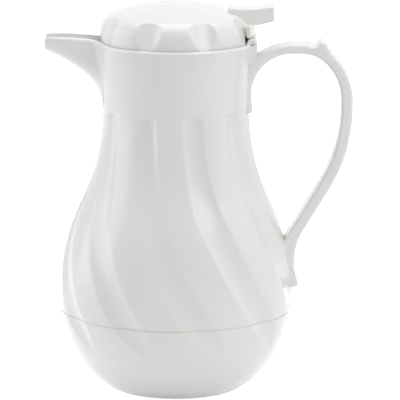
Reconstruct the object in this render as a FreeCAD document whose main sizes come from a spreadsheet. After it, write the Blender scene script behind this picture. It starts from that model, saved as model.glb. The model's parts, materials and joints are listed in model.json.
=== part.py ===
import FreeCAD, Part
import math
import os
import Sketcher
from FreeCAD import Placement, Rotation, Vector

# Insulated serving jug with a fluted body, an open spout, a flip lid and a strap handle.
# Millimetres, +Z up, origin at the centre of the foot on the standing plane.
# The spout points to -X and the handle to +X.

SIZES = [
    # body form
    ("rim_height", 242.0), ("collar_flare", 4.8), ("rim_wall", 2.0),
    ("collar_height", 47.0), ("neck_radius", 50.2), ("neck_arc", 148.0),
    ("belly_height", 63.0), ("belly_radius", 80.4), ("foot_radius", 45.1),
    ("seam_drop", 7.5), ("shell_wall", 3.2), ("fit_gap", 0.25),
    # flutes of the body
    ("flute_count", 10), ("flute_depth", 1.8), ("flute_width", 15.6), ("flute_phase", -76.7),
    ("flute_rise", 2.0), ("flute_arch", 8.0), ("flute_twist", 0.00173), ("flute_fade", 30.0),
    # spout
    ("spout_length", 39.3), ("spout_start", 3.0), ("spout_drop", 6.6), ("spout_half_width", 10.6),
    ("spout_wall", 2.4), ("spout_lip_rise", 3.6), ("spout_flat", 0.4),
    # base
    ("foot_recess", 1.5), ("foot_ring", 7.0), ("base_floor", 3.2), ("spigot_wall", 1.3),
    ("spigot_height", 6.0), ("spigot_root", 8.0), ("fill_radius", 9.0), ("fill_flange", 2.5),
    ("fill_thickness", 1.0),
    # insulation and liner
    ("foam_thickness", 8.0), ("liner_wall", 2.0), ("liner_bottom", 14.0), ("flange_clear", 0.5),
    ("liner_flange", 2.2), ("seal_thickness", 1.2), ("ledge_drop", 8.4), ("ledge_thickness", 2.4),
    ("ledge_width", 5.0), ("pad_radius", 28.0), ("pad_bore", 16.0),
    # lid
    ("lid_height", 26.3), ("lid_clear", 1.3), ("lid_wall", 2.4), ("lid_side", 5.6), ("lid_crown", 116.0),
    ("skirt_lap", 2.2), ("lid_play", 0.3), ("gasket_thickness", 1.5), ("gasket_width", 5.5),
    ("gasket_inside", 2.0), ("plug_wall", 2.0), ("plug_depth", 9.0), ("plug_play", 2.6), ("plug_rise", 9.0),
    ("plug_lip", 0.6), ("lid_foam_rise", 4.6), ("lid_foam_margin", 17.7),
    ("scallop_count", 8), ("scallop_radius", 21.0), ("scallop_depth", 1.6), ("scallop_turn", 40.0),
    ("scallop_phase", 22.5),
    # hinge
    ("hinge_out", 0.3), ("hinge_rise", 0.6), ("knuckle_radius", 3.3), ("pin_radius", 1.6),
    ("pin_fit", 0.02), ("pin_play", 0.05), ("lug_inner", 14.0), ("lug_outer", 20.0), ("lug_depth", 14.2),
    ("lug_nose", 0.9), ("hinge_gap", 0.5), ("pin_recess", 3.0), ("notch_gap", 0.6),
    # thumb lever
    ("lever_on_lid", 15.7), ("lever_overhang", 15.3), ("lever_width", 18.0), ("lever_drop", 1.9),
    ("nose_drop", 1.2), ("lever_dish", 2.0), ("lever_dip", 0.2), ("lever_thickness", 13.2),
    ("lever_lift", 3.0), ("lever_round", 1.2), ("tab_wall", 2.2), ("tab_angle", 42.0), ("tab_height", 8.0),
    ("tab_gap", 0.4),
    # handle
    ("handle_width", 20.0), ("handle_stand", 40.9), ("handle_drop", 1.8), ("strap", 7.8), ("strap_top", 6.6),
    ("handle_round", 2.2), ("shoulder_run", 21.4), ("root_drop", 13.7), ("outer_bend", 44.0),
    ("shoulder_bend", 40.0), ("corner_drop", 23.7), ("grip_length", 51.8), ("knee_bend", 110.0),
    ("leaf_stand", 7.1), ("leaf_rise", 38.8), ("leaf_bend", 40.0), ("leaf_tail", 13.4),
    ("leaf_run", 17.8), ("leaf_wall", 2.6), ("leaf_curl", 4.8), ("leaf_tip", 2.6), ("plate_length", 47.8),
    ("plate_wall", 1.6), ("plate_curl", 1.4), ("plate_curl_rise", 8.0), ("plate_tip", 2.6), ("gap_bend", 27.8),
    ("gap_corner", 24.0), ("spur_back", 20.1), ("spur_rise", 3.2), ("spur_width", 11.0), ("spur_bend", 4.0),
    ("spur_tip", 2.6), ("seat_gap", 0.3), ("sink", 5.0),
    # screws
    ("screw_radius", 1.9), ("screw_head_radius", 3.7), ("screw_head", 2.2), ("screw_length", 8.8),
    ("washer_radius", 4.6), ("washer_thickness", 0.8), ("screw_spread", 5.2), ("upper_screw_drop", 17.7),
    ("lower_screw_drop", 5.3), ("screw_fit", 0.05), ("lever_screw_radius", 1.25),
    ("lever_screw_head_radius", 2.5), ("lever_screw_head", 1.6), ("lever_screw_bite", 3.4),
    ("lever_screw_back", 10.7), ("lever_screw_spread", 5.0),
]

# values worked out from the sizes above, as the sheet's own formulas
WORKED = [
    ("neck_height", "dim.rim_height - dim.collar_height"),
    ("ledge_height", "dim.rim_height - dim.ledge_drop"),
    ("lid_skirt", "dim.rim_height - dim.skirt_lap"),
    ("lid_turn", "dim.rim_height + dim.lid_side"),
    ("lid_top", "dim.rim_height + dim.lid_height"),
    ("hinge_height", "dim.rim_height + dim.hinge_rise"),
    ("lug_foot", "calc.hinge_height - dim.lug_depth"),
    ("lever_height", "calc.lid_top - dim.lever_drop"),
    ("lever_nose", "calc.lever_height - dim.nose_drop"),
    ("lever_under", "calc.lever_height - dim.lever_thickness"),
    ("lid_foam_top", "calc.lid_turn + dim.lid_foam_rise"),
    ("spout_root", "calc.neck_height + dim.spout_start"),
    ("spout_keel", "dim.rim_height - dim.spout_drop"),
    ("spout_reach", "dim.neck_radius + dim.spout_length"),
    ("handle_top", "dim.rim_height - dim.handle_drop"),
    ("root_height", "calc.handle_top - dim.root_drop"),
    ("shoulder_reach", "dim.neck_radius + dim.shoulder_run"),
    ("handle_reach", "dim.belly_radius + dim.handle_stand"),
    ("outer_corner", "calc.handle_top - dim.corner_drop"),
    ("knee_height", "calc.outer_corner - dim.grip_length"),
    ("leaf_height", "dim.belly_height + dim.leaf_rise"),
    ("leaf_waist", "calc.leaf_height - dim.leaf_run"),
    ("leaf_foot", "calc.leaf_waist - dim.leaf_tail"),
    ("plate_foot", "calc.handle_top - dim.plate_length"),
    ("upper_screw_height", "calc.handle_top - dim.upper_screw_drop"),
    ("lower_screw_height", "calc.leaf_height - dim.lower_screw_drop"),
    ("seam_height", "dim.belly_height - dim.seam_drop"),
    ("rim_radius", "dim.neck_radius + dim.collar_flare"),
    ("lid_radius", "calc.rim_radius - dim.rim_wall - dim.lid_clear"),
    ("hinge_reach", "calc.lid_radius + dim.hinge_out"),
    ("lever_front", "calc.lid_radius - dim.lever_on_lid"),
    ("lever_end", "calc.lid_radius + dim.lever_overhang"),
    ("lever_middle", "calc.lid_radius - dim.lever_dip"),
    ("lever_screw_reach", "calc.lid_radius - dim.lever_screw_back"),
    ("lid_foam_core", "calc.lid_radius - dim.lid_foam_margin"),
    ("liner_flange_radius", "calc.neck_bore - dim.flange_clear"),
    ("ledge_bore", "calc.neck_bore - dim.ledge_width"),
    ("belly_arc", "((calc.neck_height - dim.belly_height)^2 + (dim.belly_radius - dim.neck_radius)^2)"
                  " / (2 * (dim.belly_radius - dim.neck_radius)) - dim.neck_arc"),
    ("bend_sine", "(calc.neck_height - dim.belly_height) / (dim.neck_arc + calc.belly_arc)"),
    ("bend_cosine", "sqrt(1 - calc.bend_sine^2)"),
    ("bend_height", "calc.neck_height - dim.neck_arc * calc.bend_sine"),
    ("bend_radius", "dim.neck_radius + dim.neck_arc * (1 - calc.bend_cosine)"),
    ("bowl_arc", "(dim.belly_height^2 + (dim.belly_radius - dim.foot_radius)^2)"
                 " / (2 * (dim.belly_radius - dim.foot_radius))"),
    ("flute_top", "calc.neck_height + dim.flute_rise"),
    ("collar_arc", "((dim.rim_height - calc.neck_height)^2 + (calc.rim_radius - dim.neck_radius)^2)"
                   " / (2 * (calc.rim_radius - dim.neck_radius))"),
    ("bore_flare", "calc.rim_radius - dim.rim_wall - dim.neck_radius + dim.shell_wall"),
    ("bore_arc", "((dim.rim_height - calc.neck_height)^2 + calc.bore_flare^2) / (2 * calc.bore_flare)"),
    ("liner_inset", "dim.shell_wall + dim.foam_thickness"),
    ("neck_bore", "dim.neck_radius - dim.shell_wall"),
    ("ledge_top", "calc.ledge_height + dim.ledge_thickness"),
    ("flange_top", "calc.ledge_height - dim.seal_thickness"),
    ("flange_foot", "calc.flange_top - dim.liner_flange"),
    ("liner_mouth", "dim.neck_radius - calc.liner_inset - dim.liner_wall"),
    ("floor_top", "dim.foot_recess + dim.base_floor"),
    ("gasket_foot", "calc.ledge_top + dim.lid_play"),
    ("plug_flange", "calc.gasket_foot + dim.gasket_thickness"),
    ("plug_radius", "calc.liner_mouth - dim.plug_play"),
    ("cup_radius", "calc.hinge_reach - dim.knuckle_radius - dim.tab_gap"),
    ("plug_foot", "calc.plug_flange - dim.plug_depth"),
    ("cup_top", "calc.plug_flange + dim.plug_rise"),
    ("lid_bore", "calc.lid_radius - dim.lid_wall"),
    ("crown_centre", "calc.lid_top - dim.lid_crown"),
    ("lid_drop", "calc.lid_turn - calc.lid_top + dim.lid_crown"),
    ("lid_shoulder", "(calc.lid_radius^2 + calc.lid_drop^2 - dim.lid_crown^2) / (2 * (calc.lid_radius - dim.lid_crown))"),
    ("lid_share", "(calc.lid_radius - calc.lid_shoulder) / (dim.lid_crown - calc.lid_shoulder)"),
    ("lid_rise", "calc.lid_drop / (dim.lid_crown - calc.lid_shoulder)"),
    ("hinge_slot", "dim.lug_inner - dim.hinge_gap"),
    ("leaf_reach", "dim.belly_radius - calc.belly_arc + sqrt(calc.belly_arc^2 - dim.leaf_rise^2) + dim.leaf_stand"),
    ("handle_lean", "(calc.handle_reach - calc.leaf_reach) / (calc.knee_height - calc.leaf_height)"),
    ("lean_length", "sqrt(1 + calc.handle_lean^2)"),
    ("knee_half_turn", "(calc.lean_length - 1) / calc.handle_lean"),
    ("knee_run", "0.6 * min(dim.grip_length; (calc.knee_height - calc.leaf_height) * calc.lean_length)"),
    ("knee_round", "min(dim.knee_bend; calc.knee_run / calc.knee_half_turn)"),
    ("outer_round", "min(dim.outer_bend; 0.85 * dim.grip_length)"),
]

doc = FreeCAD.newDocument("ThermalJug")


def add_sheet(name, rows, formulas):
    """A sheet with one aliased cell per row: plain numbers, or formulas that start with an equals sign."""
    new_sheet = doc.addObject("Spreadsheet::Sheet", name)
    for row, (alias, content) in enumerate(rows, 1):
        new_sheet.set(f"A{row}", alias)
        new_sheet.setAlias(f"B{row}", alias)
        new_sheet.set(f"B{row}", ("=" + content) if formulas else str(content))
    doc.recompute()
    return new_sheet


sheet = add_sheet("dim", SIZES, False)
worked = add_sheet("calc", WORKED, True)


def value(expression):
    """The number that an expression over the sheets gives."""
    return float(sheet.evalExpression(expression))


def size(alias):
    return float(sheet.get(alias))


def calc(alias):
    return float(worked.get(alias))


def bind(item, **expressions):
    """Tie properties to expressions; Base_x stands for Placement.Base.x."""
    for name, expression in expressions.items():
        path = "Placement." + name.replace("_", ".") if name.startswith("Base_") else name
        item.setExpression(path, expression)
    return item


def origin_feature(body, role):
    return [item for item in body.Origin.OriginFeatures if item.Role == role][0]


# Outlines of revolved pieces: the body's side is three arcs that meet smoothly, each inset by a wall

def neck_at(height, inset="0"):
    return (f"dim.neck_radius + dim.neck_arc - sqrt((dim.neck_arc + {inset})^2"
            f" - (calc.neck_height - ({height}))^2)")


def belly_at(height, inset="0"):
    return (f"dim.belly_radius - calc.belly_arc + sqrt((calc.belly_arc - ({inset}))^2"
            f" - (({height}) - dim.belly_height)^2)")


def bowl_at(height, inset="0"):
    return (f"dim.belly_radius - calc.bowl_arc + sqrt((calc.bowl_arc - ({inset}))^2"
            f" - (dim.belly_height - ({height}))^2)")


def collar_at(height):
    return f"dim.neck_radius + calc.collar_arc - sqrt(calc.collar_arc^2 - (({height}) - calc.neck_height)^2)"


def bore_at(height):
    return f"calc.neck_bore + calc.bore_arc - sqrt(calc.bore_arc^2 - (({height}) - calc.neck_height)^2)"


def side_corners(inset, bottom):
    """Corners and arcs of the body's side from a height in the bowl up to the narrowest neck."""
    return [
        (bowl_at(bottom, inset), bottom, f"calc.bowl_arc - ({inset})", 1),
        (f"dim.belly_radius - ({inset})", "dim.belly_height", f"calc.belly_arc - ({inset})", 1),
        (f"calc.bend_radius - ({inset}) * calc.bend_cosine", f"calc.bend_height - ({inset}) * calc.bend_sine",
         f"dim.neck_arc + ({inset})", -1),
        (f"dim.neck_radius - ({inset})", "calc.neck_height"),
    ]


def attach(body, name, role):
    sketch = body.newObject("Sketcher::SketchObject", name)
    sketch.AttachmentSupport = (origin_feature(body, role), [""])
    sketch.MapMode = "FlatFace"
    return sketch


def fix_point(sketch, geometry, end, x_expression, z_expression):
    """Hold one point of a sketch at two expressions."""
    for kind, expression, axis in (("DistanceX", x_expression, -2), ("DistanceY", z_expression, -1)):
        if expression == "0":
            sketch.addConstraint(Sketcher.Constraint("PointOnObject", geometry, end, axis))
            continue
        index = sketch.addConstraint(Sketcher.Constraint(kind, geometry, end, value(expression)))
        sketch.setExpression(f"Constraints[{index}]", expression)


def bend_middle(start, end, radius, side):
    """Middle of the arc between two points; side 1 has its centre on the left of the way, -1 on the right."""
    chord = end - start
    half = chord.Length / 2
    left = Vector(-chord.y, chord.x, 0).normalize() * side
    return (start + end) / 2 - left * (radius - math.sqrt(radius ** 2 - half ** 2))


def outline(body, name, corners, role="XZ_Plane"):
    """A closed sketch through corners (x, z), with an arc to the next corner where a radius and side follow."""
    sketch = attach(body, name, role)
    points = [Vector(value(corner[0]), value(corner[1]), 0) for corner in corners]
    ends = []
    for index, corner in enumerate(corners):
        start, stop = points[index], points[(index + 1) % len(points)]
        if len(corner) == 2:
            ends.append((sketch.addGeometry(Part.LineSegment(start, stop)), 1, 2))
            continue
        middle = bend_middle(start, stop, value(corner[2]), corner[3])
        edge = sketch.addGeometry(Part.Arc(start, middle, stop))
        forward = sketch.getPoint(edge, 1).distanceToPoint(start) < sketch.getPoint(edge, 2).distanceToPoint(start)
        ends.append((edge, 1, 2) if forward else (edge, 2, 1))
    for index, (edge, first, last) in enumerate(ends):
        following = ends[(index + 1) % len(ends)]
        sketch.addConstraint(Sketcher.Constraint("Coincident", edge, last, following[0], following[1]))
        fix_point(sketch, edge, first, corners[index][0], corners[index][1])
    for (edge, first, last), corner in zip(ends, corners):
        if len(corner) > 2:
            held = sketch.addConstraint(Sketcher.Constraint("Radius", edge, value(corner[2])))
            sketch.setExpression(f"Constraints[{held}]", corner[2])
    return sketch


def rounded_outline(body, name, corners, role="XZ_Plane"):
    """A closed sketch of straight runs through corners (x, z, radius), each corner rounded where it has one."""
    sketch = attach(body, name, role)
    points = [Vector(value(corner[0]), value(corner[1]), 0) for corner in corners]
    count = len(points)
    cuts = []
    for index, corner in enumerate(corners):
        before = (points[index - 1] - points[index]).normalize()
        after = (points[(index + 1) % count] - points[index]).normalize()
        if corner[2] is None:
            cuts.append(None)
            continue
        half_turn = (math.pi - before.getAngle(after)) / 2
        run = value(corner[2]) * math.tan(half_turn)
        inward = (before + after).normalize() * value(corner[2]) * (1 / math.cos(half_turn) - 1)
        cuts.append((points[index] + before * run, points[index] + inward, points[index] + after * run))
    lines = []
    for index in range(count):
        start = cuts[index][2] if cuts[index] else points[index]
        stop = cuts[(index + 1) % count][0] if cuts[(index + 1) % count] else points[(index + 1) % count]
        lines.append(sketch.addGeometry(Part.LineSegment(start, stop)))
    for index, corner in enumerate(corners):
        arriving, leaving = lines[index - 1], lines[index]
        if cuts[index] is None:
            sketch.addConstraint(Sketcher.Constraint("Coincident", arriving, 2, leaving, 1))
            fix_point(sketch, leaving, 1, corner[0], corner[1])
            continue
        arc = sketch.addGeometry(Part.Arc(*cuts[index]))
        forward = sketch.getPoint(arc, 1).distanceToPoint(cuts[index][0]) < 1e-6
        first, last = (1, 2) if forward else (2, 1)
        sketch.addConstraint(Sketcher.Constraint("Tangent", arriving, 2, arc, first))
        sketch.addConstraint(Sketcher.Constraint("Tangent", arc, last, leaving, 1))
        held = sketch.addConstraint(Sketcher.Constraint("Radius", arc, value(corner[2])))
        sketch.setExpression(f"Constraints[{held}]", corner[2])
        mark = sketch.addGeometry(Part.Point(points[index]), True)
        sketch.addConstraint(Sketcher.Constraint("PointOnObject", mark, 1, arriving))
        sketch.addConstraint(Sketcher.Constraint("PointOnObject", mark, 1, leaving))
        fix_point(sketch, mark, 1, corner[0], corner[1])
    return sketch


def revolved(name, corners, angle=360.0):
    """A body turned about the upright axis from a closed outline."""
    body = doc.addObject("PartDesign::Body", name)
    sketch = outline(body, name + "_outline", corners)
    turn = body.newObject("PartDesign::Revolution", name + "_turn")
    turn.Profile = sketch
    turn.ReferenceAxis = (sketch, ["V_Axis"])
    turn.Angle = angle
    turn.Midplane = True
    doc.recompute()
    return body


def padded(name, corners, width):
    """A body of even width across the jug's mid plane from a closed side outline with rounded corners."""
    body = doc.addObject("PartDesign::Body", name)
    sketch = rounded_outline(body, name + "_outline", corners)
    pad = body.newObject("PartDesign::Pad", name + "_pad")
    pad.Profile = sketch
    pad.Midplane = True
    pad.setExpression("Length", width)
    doc.recompute()
    return body


def cylinder(name, radius, length, x, y, z, axis=Vector(0, 0, 1)):
    """A round bar bound to the sheet, from (x, y, z) along an axis."""
    bar = doc.addObject("Part::Cylinder", name)
    bar.Placement = Placement(Vector(), Rotation(Vector(0, 0, 1), axis))
    return bind(bar, Radius=radius, Height=length, Base_x=x, Base_y=y, Base_z=z)


def box(name, length, width, height, x, y, z):
    block = doc.addObject("Part::Box", name)
    return bind(block, Length=length, Width=width, Height=height, Base_x=x, Base_y=y, Base_z=z)


def fused(name, items):
    joined = doc.addObject("Part::MultiFuse", name)
    joined.Shapes = items
    joined.Refine = True
    return joined


def cut(name, base, tools):
    """One solid less one or more others, taken away in turn; the last step carries the name."""
    for index, tool in enumerate(tools, 1):
        last = index == len(tools)
        step = doc.addObject("Part::Cut", name if last else f"{name}_cut_{index}")
        step.Base = base
        step.Tool = tool
        base = step
    return base


def lofted(name, wires):
    """A smooth solid through closed wires at rising heights."""
    sections = []
    for index, wire in enumerate(wires, 1):
        section = doc.addObject("Part::Feature", f"{name}_section_{index:02d}")
        section.Shape = wire
        sections.append(section)
    loft = doc.addObject("Part::Loft", name)
    loft.Sections = sections
    loft.Solid = True
    loft.Ruled = False
    doc.recompute()
    return loft


def outer_radius(height):
    """Radius of the body's side at a height, as a number for the lofted skins."""
    level = f"{height:.6f}"
    if height >= calc("neck_height"):
        return value(collar_at(level))
    if height >= calc("bend_height"):
        return value(neck_at(level))
    if height >= size("belly_height"):
        return value(belly_at(level))
    return value(bowl_at(level))


# Fluted skins of the two shells

def flute_wire(height):
    """One level of the skin: plain bands on the circle with a hollow arc for each flute between them."""
    below = calc("flute_top") - height
    arch = 1 - max(0.0, 1 - below / size("flute_arch")) ** 2
    fade = 1.0
    if height < calc("seam_height"):
        share = (height - size("flute_fade")) / (calc("seam_height") - size("flute_fade"))
        fade = share * share * (3 - 2 * share)
    radius = outer_radius(height)
    half = math.radians(size("flute_width") / 2) * max(0.2, math.sqrt(arch))
    floor = radius - size("flute_depth") * arch * fade
    count = int(size("flute_count"))
    step = 2 * math.pi / count
    start = math.radians(size("flute_phase") + size("flute_twist") * below ** 2)

    def spot(reach, angle):
        return Vector(reach * math.cos(angle), reach * math.sin(angle), height)

    edges = []
    for index in range(count):
        middle = start + index * step
        edges.append(Part.Arc(spot(radius, middle - half), spot(floor, middle), spot(radius, middle + half)))
        edges.append(Part.Arc(spot(radius, middle + half), spot(radius, middle + step / 2),
                              spot(radius, middle + step - half)))
    return Part.Wire([edge.toShape() for edge in edges])


def between(low, high, shares):
    return [low + (high - low) * share for share in shares]


arch_foot = calc("flute_top") - size("flute_arch")
upper_levels = between(calc("seam_height"), arch_foot, (0.0, 0.12, 0.25, 0.38, 0.52, 0.66, 0.79, 0.91, 1.0))
upper_levels += between(arch_foot, calc("flute_top"), (0.4, 0.7, 0.9, 1.0))
upper_skin = lofted("upper_skin", [flute_wire(height) for height in upper_levels])
lower_levels = between(size("flute_fade"), calc("seam_height"), (0.0, 0.25, 0.5, 0.75, 1.0))
lower_skin = lofted("lower_skin", [flute_wire(height) for height in lower_levels])


# Open spout: a trough with a rounded bottom whose keel leaves the neck upright and runs out to the tip

def trough_block(name, foot, tip, back, top, half):
    """The trough's solid from its keel, a parabola from foot to tip that starts upright, with a round bottom."""
    keel = Part.BezierCurve()
    keel.setPoles([foot, Vector(foot.x, 0, (foot.z + tip.z) / 2), tip])
    corners = [tip, Vector(tip.x, 0, top), Vector(-back, 0, top), Vector(-back, 0, foot.z), foot]
    edges = [keel.toShape()] + [Part.LineSegment(corners[index], corners[index + 1]).toShape() for index in range(4)]
    side = doc.addObject("Part::Feature", name + "_side")
    side.Shape = Part.Wire(edges)
    block = doc.addObject("Part::Extrusion", name + "_block")
    block.Base = side
    block.Dir = Vector(0, 1, 0)
    block.DirMode = "Custom"
    block.Solid = True
    block.Symmetric = True
    bind(block, LengthFwd=f"2 * ({half})")
    doc.recompute()
    radius = value(half) - size("spout_flat")
    bends = [index for index, edge in enumerate(block.Shape.Edges, 1) if edge.Curve.TypeId != "Part::GeomLine"]
    rounded = doc.addObject("Part::Fillet", name)
    rounded.Base = block
    rounded.Edges = [(index, radius, radius) for index in bends]
    doc.recompute()
    return rounded


keel_slope = (calc("spout_keel") - calc("spout_root")) / (2 * (calc("spout_reach") - size("neck_radius")))
bore_end = calc("spout_reach") + 6
bore_lift = size("spout_wall") * math.sqrt(1 + keel_slope ** 2) + 6 * keel_slope
bore_tip = Vector(-bore_end, 0, calc("spout_keel") + bore_lift)
bore_start = size("neck_radius") - size("spout_wall")
bore_foot = Vector(-bore_start, 0, bore_tip.z - 2 * keel_slope * (bore_end - bore_start))
trough_top = size("rim_height") + size("spout_lip_rise") + 2
trough = trough_block("trough", Vector(-size("neck_radius"), 0, calc("spout_root")),
                      Vector(-calc("spout_reach"), 0, calc("spout_keel")),
                      calc("neck_bore") - 1.2 * size("spout_half_width"), trough_top, "dim.spout_half_width")
trough_bore = trough_block("trough_bore", bore_foot, bore_tip, calc("neck_bore") - 1.4 * size("spout_half_width"),
                           trough_top + 4, "dim.spout_half_width - dim.spout_wall")
trough_floor = box("trough_floor", "2 * calc.spout_reach", "4 * calc.rim_radius", "dim.ledge_thickness",
                   "-2 * calc.spout_reach", "-2 * calc.rim_radius", "calc.ledge_height")
trough_tool = cut("trough_tool", trough_bore, [trough_floor])
rim_trim = padded("rim_trim", [
    ("calc.rim_radius + 30", "dim.rim_height", None),
    ("-dim.neck_radius + 3", "dim.rim_height", "60"),
    ("-calc.spout_reach * 0.72", "dim.rim_height + dim.spout_lip_rise", "60"),
    ("-calc.spout_reach - 30", "dim.rim_height + dim.spout_lip_rise", None),
    ("-calc.spout_reach - 30", "dim.rim_height + dim.spout_lip_rise + 20", None),
    ("calc.rim_radius + 30", "dim.rim_height + dim.spout_lip_rise + 20", None),
], "4 * calc.rim_radius")

# Upper shell: fluted skin, collar and trough joined, hinge lugs added, then hollowed
collar = revolved("collar", [
    ("0", "calc.flute_top"), (collar_at("calc.flute_top"), "calc.flute_top", "calc.collar_arc", -1),
    ("calc.rim_radius", "dim.rim_height"), ("0", "dim.rim_height")])
lug_size = ("2 * dim.knuckle_radius + dim.lug_nose", "dim.lug_outer - dim.lug_inner",
            "calc.hinge_height - calc.lug_foot")
lugs = []
for side_name, y_start in (("near", "-dim.lug_outer"), ("far", "dim.lug_inner")):
    lugs.append(box(f"lug_block_{side_name}", *lug_size,
                    "calc.hinge_reach - dim.knuckle_radius - dim.lug_nose", y_start, "calc.lug_foot"))
    lugs.append(cylinder(f"lug_round_{side_name}", "dim.knuckle_radius", "dim.lug_outer - dim.lug_inner",
                         "calc.hinge_reach", y_start, "calc.hinge_height", Vector(0, 1, 0)))

body_hollow = revolved("body_hollow", [("0", "calc.seam_height - 4")]
                       + side_corners("dim.shell_wall", "calc.seam_height - 4")[:-1]
                       + [("calc.neck_bore", "calc.neck_height", "calc.bore_arc", -1),
                          (bore_at("calc.ledge_height"), "calc.ledge_height"), ("0", "calc.ledge_height")])
collar_bore = revolved("collar_bore", [
    ("0", "calc.ledge_top"), (bore_at("calc.ledge_top"), "calc.ledge_top", "calc.bore_arc", -1),
    ("calc.rim_radius - dim.rim_wall", "dim.rim_height"),
    ("calc.rim_radius - dim.rim_wall", "dim.rim_height + dim.spout_lip_rise + 2"),
    ("0", "dim.rim_height + dim.spout_lip_rise + 2")])
ledge_hole = cylinder("ledge_hole", "calc.ledge_bore", "dim.ledge_thickness + 4", "0", "0", "calc.ledge_height - 2")
knuckle_slot = box("knuckle_slot", "30", "2 * dim.lug_inner", "30",
                   "calc.hinge_reach - dim.knuckle_radius - 8", "-dim.lug_inner",
                   "calc.hinge_height - dim.knuckle_radius - dim.hinge_gap")
lug_bore = cylinder("lug_bore", "dim.pin_radius + dim.pin_fit", "2 * dim.lug_outer + 20", "calc.hinge_reach",
                    "-dim.lug_outer - 10", "calc.hinge_height", Vector(0, 1, 0))


def screw_holes(name, radius, height):
    """A pair of level holes along X through the rear wall at a height."""
    return [cylinder(f"{name}_{index}", radius, "60", "dim.neck_radius - 30", f"{sign} * dim.screw_spread", height,
                     Vector(1, 0, 0)) for index, sign in (("near", "-1"), ("far", "1"))]


clear_radius = "dim.screw_radius + dim.screw_fit"
shell_holes = screw_holes("upper_hole", clear_radius, "calc.upper_screw_height")
shell_holes += screw_holes("lower_hole", clear_radius, "calc.lower_screw_height")

spout = cut("spout", trough, [rim_trim])
skins = fused("shell_skins", [upper_skin, collar, spout])
hollowed = cut("hollowed_skins", skins, [body_hollow, ledge_hole, trough_tool, collar_bore])
lugged = fused("lugged_shell", [hollowed] + lugs)
upper_shell = cut("upper_shell", lugged, [knuckle_slot, lug_bore] + shell_holes)

# Base shell: bowl with a recessed foot, the flutes running out into it, and a spigot inside the seam
bowl = revolved("bowl", [
    ("0", "0"), ("dim.foot_radius", "0", "calc.bowl_arc", 1), (bowl_at("dim.flute_fade"), "dim.flute_fade"),
    ("0", "dim.flute_fade")])
bowl_hollow = revolved("bowl_hollow", [
    ("0", "calc.floor_top"),
    (bowl_at("calc.floor_top", "dim.shell_wall"), "calc.floor_top", "calc.bowl_arc - dim.shell_wall", 1),
    (bowl_at("calc.seam_height + 1", "dim.shell_wall"), "calc.seam_height + 1"), ("0", "calc.seam_height + 1")])
foot_hollow = cylinder("foot_hollow", "dim.foot_radius - dim.foot_ring", "dim.foot_recess", "0", "0", "0")
fill_hole = cylinder("fill_hole", "dim.fill_radius", "calc.floor_top + 2", "0", "0", "-1")
spigot_radius = bowl_at("calc.seam_height", "dim.shell_wall") + " - dim.fit_gap"
spigot_foot, spigot_top = "calc.seam_height - dim.spigot_root", "calc.seam_height + dim.spigot_height"
spigot = revolved("spigot", [
    (spigot_radius + " - dim.spigot_wall", spigot_foot), (spigot_radius, spigot_foot),
    (spigot_radius, spigot_top), (spigot_radius + " - dim.spigot_wall", spigot_top)])
base_skin = fused("base_skin", [bowl, lower_skin])
base_cup = cut("base_cup", base_skin, [bowl_hollow, foot_hollow, fill_hole])
base_shell = fused("base_shell", [base_cup, spigot])

fill_plug = revolved("fill_plug", [
    ("0", "dim.foot_recess - dim.fill_thickness"),
    ("dim.fill_radius + dim.fill_flange", "dim.foot_recess - dim.fill_thickness"),
    ("dim.fill_radius + dim.fill_flange", "dim.foot_recess"), ("dim.fill_radius - dim.fit_gap", "dim.foot_recess"),
    ("dim.fill_radius - dim.fit_gap", "calc.floor_top"), ("0", "calc.floor_top")])


# Inner vessel, its seal under the collar's ledge, its pad on the floor, and the foam round it

def downward(corners):
    """The same corners and arcs walked the other way."""
    turned = []
    for index in range(len(corners) - 1, 0, -1):
        before = corners[index - 1]
        bend = (before[2], -before[3]) if len(before) > 2 else ()
        turned.append(corners[index][:2] + bend)
    return turned + [corners[0][:2]]


liner_floor = "dim.liner_bottom + dim.liner_wall"
liner = revolved("liner", [("0", "dim.liner_bottom")] + side_corners("calc.liner_inset", "dim.liner_bottom") + [
    ("dim.neck_radius - calc.liner_inset", "calc.flange_foot"), ("calc.liner_flange_radius", "calc.flange_foot"),
    ("calc.liner_flange_radius", "calc.flange_top"), ("calc.liner_mouth", "calc.flange_top"),
] + downward(side_corners("calc.liner_inset + dim.liner_wall", liner_floor)) + [("0", liner_floor)])
liner_seal = revolved("liner_seal", [
    ("calc.ledge_bore + dim.fit_gap", "calc.flange_top"), ("calc.liner_flange_radius", "calc.flange_top"),
    ("calc.liner_flange_radius", "calc.ledge_height"), ("calc.ledge_bore + dim.fit_gap", "calc.ledge_height")])
liner_pad = revolved("liner_pad", [
    ("dim.pad_bore", "calc.floor_top"), ("dim.pad_radius", "calc.floor_top"),
    ("dim.pad_radius", "dim.liner_bottom"), ("dim.pad_bore", "dim.liner_bottom")])

foam_inset = "dim.shell_wall + dim.spigot_wall + 4 * dim.fit_gap"
foam_foot, foam_top = "calc.floor_top + dim.fit_gap", "calc.flange_foot - dim.fit_gap"
liner_clear = "calc.liner_inset - dim.fit_gap"
foam_floor = "dim.liner_bottom - dim.fit_gap"
foam_whole = revolved("foam_whole", [("dim.pad_radius + dim.fit_gap", foam_foot)]
                      + side_corners(foam_inset, foam_foot)
                      + [(bore_at(foam_top) + " - dim.spigot_wall - dim.fit_gap", foam_top),
                         (f"dim.neck_radius - ({liner_clear})", foam_top)]
                      + downward(side_corners(liner_clear, foam_floor))
                      + [("dim.pad_radius + dim.fit_gap", foam_floor)])

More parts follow.
